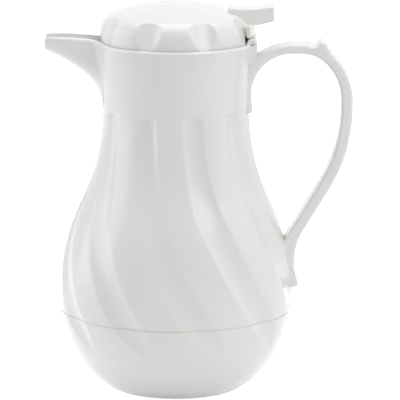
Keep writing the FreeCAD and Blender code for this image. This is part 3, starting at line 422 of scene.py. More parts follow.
AXIS_STEPS = (
    ("x_square", MATH, "MULTIPLY", "x", "x"),
    ("y_square", MATH, "MULTIPLY", "y", "y"),
    ("reach_square", MATH, "ADD", "x_square", "y_square"),
    ("reach", MATH, "SQRT", "reach_square"),
    ("angle", MATH, "ARCTAN2", "y", "x"),
    ("half_step", MATH, "DIVIDE", math.pi, "Count"),
    ("half_back", MATH, "MULTIPLY", "half_step", -1.0),
)
PRESS_STEPS = (
    ("shift", VECTOR, "SCALE", "place", None, None, "press"),
    ("level_shift", VECTOR, "MULTIPLY", "shift", (1.0, 1.0, 0.0)),
)

# softness of a flute's edges, as a part of its depth
EDGE_EASE = 0.1
FLUTE_INPUTS = ("Count", "Depth", "Radius", "Top", "Arch", "Twist", "Phase", "Fade Low", "Fade High",
                "Mean Reach")
FLUTE_STEPS = (
    # a flute's bearing swirls with the square of the distance below its top
    ("below", MATH, "SUBTRACT", "Top", "z"),
    ("below_square", MATH, "MULTIPLY", "below", "below"),
    ("twist", MATH, "MULTIPLY", "Twist", "below_square"),
    ("swirl", MATH, "ADD", "Phase", "twist"),
    ("bearing", MATH, "SUBTRACT", "angle", "swirl"),
    ("aside", MATH, "WRAP", "bearing", "half_step", "half_back"),
    # its floor is round
    ("chord", MATH, "MULTIPLY", "aside", "Mean Reach"),
    ("chord_square", MATH, "MULTIPLY", "chord", "chord"),
    ("diameter", MATH, "MULTIPLY", "Radius", 2.0),
    ("bow", MATH, "DIVIDE", "chord_square", "diameter"),
    # it runs in over the arch at its top, and fades out near the foot
    ("arch_part", MATH, "DIVIDE", "below", "Arch"),
    ("arch_left", MATH, "SUBTRACT", 1.0, "arch_part"),
    ("arch_rise", MATH, "MAXIMUM", "arch_left", 0.0),
    ("rise", MATH, "MINIMUM", "arch_rise", 2.0),
    ("rise_square", MATH, "MULTIPLY", "rise", "rise"),
    ("arch", MATH, "SUBTRACT", 1.0, "rise_square"),
    ("arch_depth", MATH, "MULTIPLY", "Depth", "arch"),
    ("depth", MATH, "MULTIPLY", "arch_depth", "fade"),
    ("cut", MATH, "SUBTRACT", "depth", "bow"),
    ("ease", MATH, "MULTIPLY", "Depth", EDGE_EASE),
    ("hollow", MATH, "SMOOTH_MAX", "cut", 0.0, "ease"),
    # skin is one on the outer skin and nought elsewhere
    ("skin_hollow", MATH, "MULTIPLY", "hollow", "skin"),
    ("sunk", MATH, "MULTIPLY", "skin_hollow", -1.0),
    ("press", MATH, "DIVIDE", "sunk", "reach"),
)

# power of the curve by which a scallop's sides rise from its floor
SIDE_POWER = 2.4
SCALLOP_INPUTS = ("Count", "Width", "Top", "Top Reach", "Slope", "Phase", "Ease")
SCALLOP_STEPS = (
    ("bearing", MATH, "SUBTRACT", "angle", "Phase"),
    ("aside", MATH, "WRAP", "bearing", "half_step", "half_back"),
    ("chord", MATH, "MULTIPLY", "aside", "reach"),
    ("part", MATH, "DIVIDE", "chord", "Width"),
    ("side_part", MATH, "ABSOLUTE", "part"),
    ("side_curve", MATH, "POWER", "side_part", SIDE_POWER),
    ("bow", MATH, "MULTIPLY", "side_curve", "Width"),
    # the floor leans outwards as it comes down, and skin is the wall to its inner face
    ("below", MATH, "SUBTRACT", "Top", "z"),
    ("run", MATH, "MULTIPLY", "below", "Slope"),
    ("middle", MATH, "ADD", "Top Reach", "run"),
    ("floor", MATH, "ADD", "middle", "bow"),
    ("skin_floor", MATH, "SUBTRACT", "floor", "skin"),
    ("level", MATH, "SMOOTH_MIN", "reach", "skin_floor", "Ease"),
    ("reach_part", MATH, "DIVIDE", "level", "reach"),
    ("press", MATH, "SUBTRACT", "reach_part", 1.0),
)


def new_group(name, inputs):
    """A node group that takes a mesh, the named numbers and a material, and what its steps start from."""
    tree = bpy.data.node_groups.new(name, "GeometryNodeTree")
    tree.interface.new_socket("Geometry", in_out="INPUT", socket_type="NodeSocketGeometry")
    for label in inputs:
        tree.interface.new_socket(label, in_out="INPUT", socket_type="NodeSocketFloat")
    tree.interface.new_socket("Material", in_out="INPUT", socket_type="NodeSocketMaterial")
    tree.interface.new_socket("Geometry", in_out="OUTPUT", socket_type="NodeSocketGeometry")
    given = tree.nodes.new("NodeGroupInput").outputs
    known = {label: given[label] for label in ("Geometry", *inputs, "Material")}
    known["place"] = tree.nodes.new("GeometryNodeInputPosition").outputs[0]
    known["x"], known["y"], known["z"] = add_node(tree, "ShaderNodeSeparateXYZ", known["place"]).outputs
    known["skin"] = add_node(tree, "GeometryNodeInputNamedAttribute", "skin", data_type="FLOAT").outputs[0]
    add_steps(tree, known, AXIS_STEPS)
    return tree, known


def pressed(tree, known):
    """End of a group: the points move level, to or from the axis, and the mesh is painted."""
    add_steps(tree, known, PRESS_STEPS)
    moved = add_node(tree, "GeometryNodeSetPosition", known["Geometry"], None, None, known["level_shift"])
    real = add_node(tree, "GeometryNodeRealizeInstances", moved.outputs[0])
    painted = add_node(tree, "GeometryNodeSetMaterial", real.outputs[0], None, known["Material"])
    add_node(tree, "NodeGroupOutput", painted.outputs[0])
    return tree


def flute_group():
    """Nodes that press a swirl of round-bottomed flutes with arched tops into the skin of a turned form."""
    found = bpy.data.node_groups.get("Swirl Flutes")
    if found:
        return found
    tree, known = new_group("Swirl Flutes", FLUTE_INPUTS)
    fade = add_node(tree, "ShaderNodeMapRange", known["z"], known["Fade Low"], known["Fade High"], 0.0, 1.0,
                    interpolation_type="SMOOTHSTEP")
    known["fade"] = fade.outputs[0]
    add_steps(tree, known, FLUTE_STEPS)
    return pressed(tree, known)


def scallop_group():
    """Nodes that cut a ring of hollows with leaning floors into the shoulder of a dome."""
    found = bpy.data.node_groups.get("Lid Scallops")
    if found:
        return found
    tree, known = new_group("Lid Scallops", SCALLOP_INPUTS)
    add_steps(tree, known, SCALLOP_STEPS)
    return pressed(tree, known)


def repeated(item, group, skin, values):
    """Press a node group's hollows into an object; skin works out the group's skin number for a vertex."""
    mark = item.data.attributes.new("skin", "FLOAT", "POINT")
    mark.data.foreach_set("value", [float(skin(vertex)) for vertex in item.data.vertices])
    step = item.modifiers.new("hollows", "NODES")
    step.node_group = group
    sockets = {socket.name: socket.identifier for socket in group.interface.items_tree
               if socket.in_out == "INPUT"}
    for name, content in values.items():
        step[sockets[name]] = content
    settle(item)
    item.data.attributes.remove(item.data.attributes["skin"])
    return item


# Finishes
# The sizes of the patterns are in millimetres: patches of a moulding that cooled unevenly, the ripples of
# its orange peel, and the marks on drawn steel. Those are about ten times as coarse as real ones, so that
# they show.

SHEEN_PATCH = 70.0
SHEEN_DETAIL = 3.0
PEEL_RIPPLE = 1.1
PEEL_HEIGHT = 0.02
PEEL_DETAIL = 2.0
DRAWN_MARK = 0.65
MARK_DETAIL = 2.0

# most of a noise pattern's values lie between these two
NOISE_LOW = 0.3
NOISE_HIGH = 0.7

# how far the roughness goes either way
PLASTIC_SPREAD = 0.03
METAL_SPREAD = 0.08

# refraction typical of moulded plastics
PLASTIC_IOR = 1.5

# roughness of the gloss coat and of the paper on the floor
COAT_ROUGH = 0.08
PAPER_ROUGH = 0.9

WHITE = colour("FFFFFF")


def per_metre(size):
    """Scale of a pattern whose features have a size in millimetres."""
    return 1 / (size * MM)


def new_material(name):
    """A material with nodes, its tree and its plain shader."""
    made = bpy.data.materials.new(name)
    made.use_nodes = True
    return made, made.node_tree, made.node_tree.nodes["Principled BSDF"]


def vary_roughness(tree, shader, place, size, detail, middle, reach):
    """Let the roughness go up and down round a middle value, over features of a size in millimetres."""
    noise = add_node(tree, "ShaderNodeTexNoise", place, None, per_metre(size), detail)
    rough = add_node(tree, "ShaderNodeMapRange", noise.outputs[0], NOISE_LOW, NOISE_HIGH,
                     middle - reach, middle + reach)
    tree.links.new(rough.outputs[0], shader.inputs["Roughness"])


def plastic(name, shade, rough, peel, coat=0.0):
    """Moulded plastic: an even colour, a soft sheen that varies a little and a faint orange peel."""
    found = bpy.data.materials.get(name)
    if found:
        return found
    made, tree, shader = new_material(name)
    shader.inputs["Base Color"].default_value = shade
    shader.inputs["IOR"].default_value = PLASTIC_IOR
    shader.inputs["Coat Weight"].default_value = coat
    shader.inputs["Coat Roughness"].default_value = COAT_ROUGH
    place = tree.nodes.new("ShaderNodeTexCoord").outputs["Object"]
    vary_roughness(tree, shader, place, SHEEN_PATCH, SHEEN_DETAIL, rough, PLASTIC_SPREAD)
    ripple = add_node(tree, "ShaderNodeTexNoise", place, None, per_metre(PEEL_RIPPLE), PEEL_DETAIL)
    bump = add_node(tree, "ShaderNodeBump", peel, PEEL_HEIGHT * MM)
    tree.links.new(ripple.outputs[0], bump.inputs["Height"])
    tree.links.new(bump.outputs[0], shader.inputs["Normal"])
    return made


def metal(name, shade, rough):
    """Drawn metal: bright, with fine marks that break up what it reflects."""
    found = bpy.data.materials.get(name)
    if found:
        return found
    made, tree, shader = new_material(name)
    shader.inputs["Base Color"].default_value = shade
    shader.inputs["Metallic"].default_value = 1.0
    place = tree.nodes.new("ShaderNodeTexCoord").outputs["Object"]
    vary_roughness(tree, shader, place, DRAWN_MARK, MARK_DETAIL, rough, METAL_SPREAD)
    return made


def shell_finish():
    """Injection moulded ABS from a polished mould: white, glossy, with a faint orange peel."""
    finish = bpy.context.scene.jug_finish
    return plastic("glossy_white_abs", finish.shell, finish.shell_rough, peel=0.12, coat=0.15)


# Shells
# The levels of the upper shell start their flanks this many degrees either side of the spout, well clear
# of its fillets. A flank's points cover most of that turn, and its end is cut square.

FLANK_TURN = 32.0
FLANK_PART = 0.985

# how many points lie along a flank, across the spout's end and round the rest
FLANK_STEPS = 56
END_STEPS = 6
ROUND_STEPS = 296

# how many levels and segments the forms have
BODY_LEVELS = 86
COLLAR_LEVELS = 60
RIM_LEVELS = 6
MOUTH_LEVELS = 24
INSIDE_LEVELS = 40
LEDGE_LEVELS = 10
INSIDE_SEGMENTS = 128
BOWL_LEVELS = 60
BOWL_INSIDE_LEVELS = 24
BOWL_SEGMENTS = 420

# the closer levels of the collar start this far below the neck, this far over the body's last level
COLLAR_DROP = 9.0
LEVEL_GAP = 1.0

# the flutes stay under this height over the neck
FLUTE_LIMIT = 4.0

# power of the height by which the lips' rise comes in
LIP_POWER = 3

# the trough's floor lies this much higher, over a stouter keel
TROUGH_LIFT = 0.4

LUG_BEVEL = 0.5

# how far cutting tools run past what they cut
CUT_PAST = 2.0
MOUTH_PAST = 8.0
BORE_PAST = 5.0
SLOT_IN = 8.0
SLOT_OUT = 22.0
SLOT_UP = 30.0

# the foot ring's small slopes, and the height at which the bowl's side starts over it
RECESS_SLOPE = 0.4
FOOT_SLOPE = 1.0
FOOT_EDGE = 0.35
BOWL_START = 1.2


def body_radius(body, height, inset=0.0):
    """Radius of the body's side at a height, inset by a wall."""
    fall = body.belly_radius - body.neck_radius
    run = body.neck_height - body.belly_height
    belly_arc = (run ** 2 + fall ** 2) / (2 * fall) - body.neck_arc
    bend = body.neck_height - body.neck_arc * run / (body.neck_arc + belly_arc)
    if height >= body.neck_height:
        flare = body.rim_radius - body.neck_radius
        rise = body.rim_height - body.neck_height
        arc = (rise ** 2 + flare ** 2) / (2 * flare)
        return body.neck_radius + arc - math.sqrt(arc ** 2 - (height - body.neck_height) ** 2) - inset
    if height >= bend:
        reach = body.neck_arc + inset
        return body.neck_radius + body.neck_arc - math.sqrt(reach ** 2 - (body.neck_height - height) ** 2)
    if height >= body.belly_height:
        reach = belly_arc - inset
        return body.belly_radius - belly_arc + math.sqrt(reach ** 2 - (height - body.belly_height) ** 2)
    waist = body.belly_radius - body.foot_radius
    bowl_arc = (body.belly_height ** 2 + waist ** 2) / (2 * waist)
    reach = bowl_arc - inset
    return body.belly_radius - bowl_arc + math.sqrt(reach ** 2 - (body.belly_height - height) ** 2)


def spout_ring(body, spout, height, radius, inset=0.0, lift=0.0, reach=None, risen=0.0):
    """One level of the body with the spout blended into it; risen is the part of the lips' rise to take."""
    half = spout.half_width - inset
    end = spout.reach - inset if reach is None else reach
    climb = spout.keel - spout.root
    span = spout.reach - body.neck_radius
    plain = 1 - spout.sweep
    rise = max(0.0, height - lift - inset - spout.root) / climb
    nose = min(end, max(radius, body.neck_radius + span * (plain * rise ** 2 + spout.sweep * rise ** 4)))
    fillet = min(spout.fillet + inset, nose - radius)
    side = math.radians(FLANK_TURN)
    start = radius * math.cos(side)

    def half_at(out):
        """Half the width of this level at a distance from the axis."""
        part = max(0.0, out - body.neck_radius) / span
        climbed = (math.sqrt(plain ** 2 + 4 * spout.sweep * part) - plain) / (2 * spout.sweep)
        deep = height - spout.root - climb * math.sqrt(climbed) - lift - inset
        upright = min(1.0, max(0.0, deep / (spout.hollow - inset)))
        trough = half * math.sqrt(1 - (1 - upright) ** 2)
        hollow = math.sqrt((radius + fillet) ** 2 - (trough + fillet) ** 2)
        if out >= hollow:
            return trough
        if out <= radius * hollow / (radius + fillet):
            return math.sqrt(max(0.0, radius ** 2 - out ** 2))
        return trough + fillet - math.sqrt(max(0.0, fillet ** 2 - (hollow - out) ** 2))

    def lip(out):
        """How far the lips have risen at a distance from the axis."""
        return risen * spout.lip_rise * (1 - math.exp(-max(0.0, out - spout.lip_start) / spout.lip_run))

    flank = []
    for step in range(FLANK_STEPS):
        turn = side * (1 - FLANK_PART * (step + 1) / FLANK_STEPS)
        part = (math.cos(turn) - math.cos(side)) / (1 - math.cos(side))
        out = start + (nose - start) * part
        flank.append((-out, half_at(out), height + lip(out)))
    last = flank[-1][1]
    ring = []
    for step in range(ROUND_STEPS + 1):
        angle = -math.pi + side + (2 * math.pi - 2 * side) * step / ROUND_STEPS
        ring.append((radius * math.cos(angle), radius * math.sin(angle), height))
    ring += flank
    for step in range(1, END_STEPS):
        ring.append((-nose, last * (1 - 2 * step / END_STEPS), height + lip(nose)))
    ring += [(x, -y, z) for x, y, z in reversed(flank)]
    return ring


def body_flutes(body):
    """Inputs of the flutes that run over both shells."""
    run = body.flute_top - body.seam_height
    return {
        "Count": body.flute_count,
        "Depth": body.flute_depth * MM,
        "Radius": body.flute_round * MM,
        "Top": body.flute_top * MM,
        "Arch": body.flute_arch * MM,
        "Twist": body.flute_swirl / (run * MM) ** 2,
        "Phase": body.flute_phase,
        "Fade Low": body.fade_low * MM,
        "Fade High": body.seam_height * MM,
        "Mean Reach": (body.neck_radius + body.belly_radius) / 2 * MM,
        "Material": shell_finish(),
    }


def shell_levels(body):
    """Heights up the upper shell, each with how far its skin lies inside the body's side there."""
    seam_edge = body.seam_height + body.seam_bevel
    rim_edge = body.rim_height - body.rim_round
    collar = body.neck_height - COLLAR_DROP
    levels = [(body.seam_height, body.seam_bevel)]
    levels += [(height, 0.0) for height in spread(seam_edge, collar - LEVEL_GAP, BODY_LEVELS)]
    levels += [(height, 0.0) for height in spread(collar, rim_edge, COLLAR_LEVELS)]
    for lean in spread(0.0, math.pi / 2, RIM_LEVELS)[1:]:
        levels.append((rim_edge + body.rim_round * math.sin(lean), body.rim_round * (1 - math.cos(lean))))
    return levels


def shell_skin(body, spout):
    """The upper shell's outside with its spout and flutes, as a solid."""
    rings = []
    for height, inset in shell_levels(body):
        risen = max(0.0, (height - spout.root) / (body.rim_height - spout.root)) ** LIP_POWER
        radius = body_radius(body, height) - inset
        rings.append(spout_ring(body, spout, height, radius, inset, risen=risen))
    limit = (body.neck_height + FLUTE_LIMIT) * MM
    skin = lofted("upper_shell_skin", rings)
    return repeated(skin, flute_group(), lambda vertex: vertex.co.z < limit, body_flutes(body))


def mouth_cut(body, spout):
    """What the mouth and the trough take out of the upper shell, from the ledge up."""
    collar = body.rim_height - body.neck_height
    rings = []
    for height in spread(body.ledge_top, body.rim_height + MOUTH_PAST, MOUTH_LEVELS):
        level = min(height, body.rim_height)
        wall = body.rim_wall + (body.wall - body.rim_wall) * (body.rim_height - level) / collar
        rings.append(spout_ring(body, spout, height, body_radius(body, level) - wall, spout.wall,
                                TROUGH_LIFT, spout.reach + MOUTH_PAST))
    return lofted("mouth", rings)


def inside_cut(body):
    """What the hollow under the ledge takes out of the upper shell."""
    low = body.seam_height - CUT_PAST
    side = [(body_radius(body, height, body.wall), height)
            for height in spread(low, body.neck_height, INSIDE_LEVELS)]
    side += [(body_radius(body, height) - body.wall, height)
             for height in spread(body.neck_height, body.ledge_height, LEDGE_LEVELS)[1:]]
    return turned("hollow", [(0.0, low), *side, (0.0, body.ledge_height)], INSIDE_SEGMENTS)


def ledge_cut(body):
    """The hole through the ledge."""
    low = body.ledge_height - CUT_PAST
    high = body.ledge_top + CUT_PAST
    profile = [(0.0, low), (body.ledge_bore, low), (body.ledge_bore, high), (0.0, high)]
    return turned("hole", profile, INSIDE_SEGMENTS)


def hinge_lug(lid, side):
    """The lug on one side of the mid plane that holds an end of the hinge pin."""
    near, far = sorted((side * lid.lug_inner, side * lid.lug_outer))
    lug = block("lug", (lid.hinge_reach - lid.knuckle - lid.lug_nose, near, lid.lug_foot),
                (lid.hinge_reach + lid.knuckle, far, lid.hinge_height))
    top = bar_across("lug_round", lid.knuckle, near, far, (lid.hinge_reach, lid.hinge_height))
    return bevelled(combine(lug, "UNION", top), LUG_BEVEL)


def hinge_slot(lid):
    """The room between the lugs for the lever's knuckle."""
    foot = lid.hinge_height - lid.knuckle - lid.hinge_gap
    return block("slot", (lid.hinge_reach - lid.knuckle - SLOT_IN, -lid.lug_inner, foot),
                 (lid.hinge_reach + SLOT_OUT, lid.lug_inner, foot + SLOT_UP))


def hinge_bore(lid, radius, half):
    """The bore for the hinge pin through a piece of a half width."""
    end = half + BORE_PAST
    return bar_across("pin_bore", radius, -end, end, (lid.hinge_reach, lid.hinge_height))


class JUG_OT_upper_shell(bpy.types.Operator):
    """Build the fluted upper shell with its collar, spout and hinge lugs"""
    bl_idname = "jug.upper_shell"
    bl_label = "Build Upper Shell"

    def execute(self, context):
        body = measures(context.scene.jug_body)
        spout = measures(context.scene.jug_spout)
        lid = measures(context.scene.jug_lid)
        shell = shell_skin(body, spout)
        # the handle is cut to this copy of the whole form later
        form = shell.copy()
        form.data = shell.data.copy()
        form.name = "body_form"
        context.scene.collection.objects.link(form)
        combine(shell, "DIFFERENCE", mouth_cut(body, spout), inside_cut(body), ledge_cut(body))
        combine(shell, "UNION", hinge_lug(lid, -1), hinge_lug(lid, 1))
        combine(shell, "DIFFERENCE", hinge_slot(lid), hinge_bore(lid, lid.pin, lid.lug_outer))
        dressed(smooth(shell), shell_finish(), "jug", "shell_plastic", "upper_shell")
        return {"FINISHED"}


class JUG_OT_base_shell(bpy.types.Operator):
    """Build the bowl of the base, where the flutes run out"""
    bl_idname = "jug.base_shell"
    bl_label = "Build Base Shell"

    def execute(self, context):
        body = measures(context.scene.jug_body)
        ring_inner = body.foot_radius - body.foot_ring
        seam_edge = body.seam_height - body.seam_bevel
        foot = [
            (0.0, body.foot_recess),
            (ring_inner - RECESS_SLOPE, body.foot_recess),
            (ring_inner, body.foot_recess - RECESS_SLOPE),
            (ring_inner + RECESS_SLOPE, RECESS_SLOPE),
            (ring_inner + FOOT_SLOPE, 0.0),
            (body.foot_radius - FOOT_SLOPE, 0.0),
            (body.foot_radius, FOOT_EDGE),
        ]
        outer = [(body_radius(body, height), height)
                 for height in spread(BOWL_START, seam_edge, BOWL_LEVELS)]
        outer.append((body_radius(body, body.seam_height) - body.seam_bevel, body.seam_height))
        inner = [(body_radius(body, height, body.wall), height)
                 for height in spread(body.seam_height, body.floor, BOWL_INSIDE_LEVELS)]
        profile = [*foot, *outer, *inner, (0.0, body.floor)]
        shell = turned("base_shell_skin", profile, BOWL_SEGMENTS)
        row = len(profile) - 2
        outside = range(len(foot) - 1, len(foot) - 1 + len(outer))
        repeated(shell, flute_group(), lambda vertex: vertex.index % row in outside, body_flutes(body))
        dressed(smooth(shell), shell_finish(), "jug", "shell_plastic", "base_shell")
        return {"FINISHED"}


# Lid
# The dome, its inside and the form that the lever is cut to have so many steps and segments.

SKIRT_STEPS = 12
DOME_STEPS = 64
DOME_INSIDE_STEPS = 16
DOME_SEGMENTS = 360
FORM_STEPS = 40
FORM_SEGMENTS = 180

# gap between the lever and the dome
LEVER_GAP = 0.1

# how far the notch goes below the skirt, out past the hinge and over its knuckle
NOTCH_DOWN = 1.0
NOTCH_OUT = 30.0
NOTCH_OVER = 0.8


def dome_shoulder(lid):
    """Radius of the shoulder that runs smoothly from the upright side into the crown."""
    drop = lid.turn - lid.top + lid.crown
    return (lid.radius ** 2 + drop ** 2 - lid.crown ** 2) / (2 * (lid.radius - lid.crown))


def dome_profile(lid, inset, steps):
    """The dome's side, shoulder and crown from the skirt up to the axis, inset by a wall."""
    shoulder = dome_shoulder(lid)
    lean = math.atan2(lid.turn - lid.top + lid.crown, lid.radius - shoulder)
    points = [(lid.radius - inset, height) for height in spread(lid.skirt, lid.turn, SKIRT_STEPS)]
    points += [arc_point((lid.radius - shoulder, lid.turn), shoulder - inset, angle)
               for angle in spread(0.0, lean, steps)[1:]]
    points += [arc_point((0.0, lid.top - lid.crown), lid.crown - inset, angle)
               for angle in spread(lean, math.pi / 2, steps)[1:]]
    return points


def lid_scallops(lid):
    """Inputs of the scallops round the dome."""
    return {
        "Count": lid.scallop_count,
        "Width": lid.scallop_width * MM,
        "Top": lid.scallop_top * MM,
        "Top Reach": lid.scallop_reach * MM,
        "Slope": lid.scallop_slope,
        "Phase": lid.scallop_phase,
        "Ease": lid.scallop_ease * MM,
        "Material": shell_finish(),
    }


class JUG_OT_lid_dome(bpy.types.Operator):
    """Build the domed lid with its scalloped side"""
    bl_idname = "jug.lid_dome"
    bl_label = "Build Lid Dome"

    def execute(self, context):
        lid = measures(context.scene.jug_lid)
        inner = dome_profile(lid, lid.wall, DOME_INSIDE_STEPS)[::-1]
        profile = inner + dome_profile(lid, 0.0, DOME_STEPS)
        dome = turned("lid_dome_skin", profile, DOME_SEGMENTS)
        row = len(profile) - 2
        inside = range(len(inner) - 1)
        repeated(dome, scallop_group(), lambda vertex: lid.wall * MM * (vertex.index % row in inside),
                 lid_scallops(lid))
        turned("dome_form", [(0.0, lid.skirt), *dome_profile(lid, -LEVER_GAP, FORM_STEPS)], FORM_SEGMENTS)
        side = lid.lug_outer + 2 * lid.hinge_gap
        notch = block("notch", (lid.notch_start, -side, lid.skirt - NOTCH_DOWN),
                      (lid.hinge_reach + NOTCH_OUT, side, lid.hinge_height + lid.knuckle + NOTCH_OVER))
        combine(dome, "DIFFERENCE", notch)
        dressed(smooth(dome), shell_finish(), "lid", "shell_plastic", "lid_dome")
        return {"FINISHED"}


# Handle and lever
# Side outlines seen from the front, clockwise: a corner's place from the axis and the table, and the
# radius that rounds it. None leaves it sharp, where it lies inside another piece.

HANDLE_OUTLINE = (
    # along the top to the spur, and down the back to the leaf
    (45.2, 226.5, None), (71.6, 240.2, 40.0), (90.2, 240.2, 12.0), (95.0, 238.3, 4.0),
    (101.2, 243.4, 2.6), (106.0, 234.6, 4.0), (121.3, 216.5, 44.0), (121.3, 164.7, 110.0),
    (82.6, 101.8, 40.0), (81.6, 84.0, 12.0), (85.2, 70.6, 2.6),
    # inside the body, up the finger side, and down the upper plate
    (70.4, 69.8, None), (66.0, 89.8, None), (113.5, 166.9, 102.2), (113.5, 214.2, 36.2),
    (97.1, 233.6, 24.0), (51.8, 233.6, 27.8), (51.8, 200.4, 24.0), (53.2, 192.4, 2.6), (45.2, 192.0, None),
)

LEVER_OUTLINE = (
    (36.0, 265.2, 1.6), (51.5, 264.4, 60.0), (67.0, 266.4, 1.6), (67.3, 256.2, 1.6),
    (54.7, 253.2, 14.0), (41.7, 253.2, None), (36.0, 256.2, None),
)

# edges that turn less than this many degrees are shaded smooth on the strap and the lever
SMOOTH_TURN = 50.0

TAB_STEPS = 48
TAB_BEVEL = 0.4

# how far the tab goes into the dome's form, before that is cut away, and the arm into the tab
TAB_DEPTH = 5.0
ARM_OVERLAP = 0.2

# how much wider the lever's bore is than the lugs', so that it turns on the pin
BORE_PLAY = 0.03


class JUG_OT_handle(bpy.types.Operator):
    """Build the strap handle with its thumb spur"""
    bl_idname = "jug.handle"
    bl_label = "Build Handle"

    def execute(self, context):
        shape = measures(context.scene.jug_handle)
        handle = strap("handle_skin", HANDLE_OUTLINE, shape.width, shape.edge)
        combine(handle, "DIFFERENCE", bpy.data.objects["body_form"])
        dressed(smooth(handle, SMOOTH_TURN), shell_finish(), "jug", "shell_plastic", "handle")
        return {"FINISHED"}


def lever_tab(lid, shape, foot):
    """The curved tab that the lever has behind the dome, over the lugs."""
    front = lid.radius - TAB_DEPTH
    back = lid.radius + shape.tab_wall
    top = foot + shape.tab_height
    section = ((front, foot), (back, foot), (back, top), (front, top))
    rings = []
    for angle in spread(shape.tab_angle / 2, -shape.tab_angle / 2, TAB_STEPS):
        rings.append([(reach * math.cos(angle), reach * math.sin(angle), height)
                      for reach, height in section])
    return bevelled(lofted("tab", rings), TAB_BEVEL)


class JUG_OT_thumb_lever(bpy.types.Operator):
    """Build the thumb lever with its curved tab and hinge knuckle"""
    bl_idname = "jug.thumb_lever"
    bl_label = "Build Thumb Lever"

    def execute(self, context):
        shape = measures(context.scene.jug_handle)
        lid = measures(context.scene.jug_lid)
        foot = lid.hinge_height + lid.knuckle + shape.tab_gap
        half = lid.lug_inner - lid.hinge_gap
        lever = strap("thumb_lever_skin", LEVER_OUTLINE, shape.lever_width, shape.lever_edge)
        combine(lever, "UNION", lever_tab(lid, shape, foot))
        combine(lever, "DIFFERENCE", bpy.data.objects["dome_form"])
        arm = block("arm", (shape.arm_start, -half, lid.hinge_height),
                    (lid.radius + shape.tab_wall, half, foot + ARM_OVERLAP))
        knuckle = bar_across("knuckle", lid.knuckle, -half, half, (lid.hinge_reach, lid.hinge_height))
        combine(lever, "UNION", arm, knuckle)
        combine(lever, "DIFFERENCE", hinge_bore(lid, lid.pin + BORE_PLAY, half))
        dressed(smooth(lever, SMOOTH_TURN), shell_finish(), "lid", "shell_plastic", "thumb_lever")
        return {"FINISHED"}


class JUG_OT_inner_pieces(bpy.types.Operator):
    """Give the inner pieces of the frame their finishes"""
    bl_idname = "jug.inner_pieces"
    bl_label = "Finish Inner Pieces"

    def execute(self, context):
        finish = context.scene.jug_finish
        finishes = {
            # moulded polypropylene: white, satin, a little see-through in the hand
            "liner_plastic": plastic("satin_polypropylene", finish.liner, rough=0.4, peel=0.1),
            # moulded silicone: pale grey and matt
            "seal_rubber": plastic("matt_silicone", finish.seal, rough=0.6, peel=0.2),
            # poured polyurethane foam: straw coloured, dull and open
            "foam": plastic("polyurethane_foam", finish.foam, rough=0.85, peel=0.6),
            # cold headed stainless steel: bright, with fine marks
            "steel": metal("stainless_steel", finish.steel, rough=0.3),
            "shell_plastic": shell_finish(),
        }
        for part in frame["record"]["subparts"]:
            node = frame["nodes"][part["node"]]
            node.data.materials.clear()
            node.data.materials.append(finishes[part["material_slot"]])
        return {"FINISHED"}


# Stage
# Each lamp's place, the height it is aimed at, its width and its height are in metres.

LAMPS = {
    "left_lamp": ((-1.1, 0.06, 0.42), 0.14, 0.9, 0.84),
    "right_lamp": ((1.1, -0.12, 0.42), 0.14, 0.9, 0.84),
    "key_lamp": ((0.6, -0.55, 0.95), 0.14, 0.7, 0.7),
    "top_lamp": ((0.0, 0.1, 1.3), 0.14, 1.2, 1.0),
    "low_lamp": ((0.0, -1.0, 0.14), 0.05, 1.4, 0.24),
}

# half the width of the floor in millimetres, and the part of white that it shows without light
FLOOR_REACH = 4000.0
FLOOR_GLOW = 0.75

# the camera's lens and sensor in millimetres, and the picture's shift as parts of its width
LENS = 339.0
SENSOR = 36.0
FRAME_SHIFT = (0.0605, -0.017)
FRAME_PIXELS = 400


def seen_directly(tree):
    """One for rays from the camera, a mirror or glass, and nought for rays that carry light."""
    path = add_node(tree, "ShaderNodeLightPath").outputs
    mirror = add_node(tree, MATH, path["Is Camera Ray"], path["Is Glossy Ray"], operation="MAXIMUM")
    glass = add_node(tree, MATH, mirror.outputs[0], path["Is Transmission Ray"], operation="MAXIMUM")
    return glass.outputs[0]


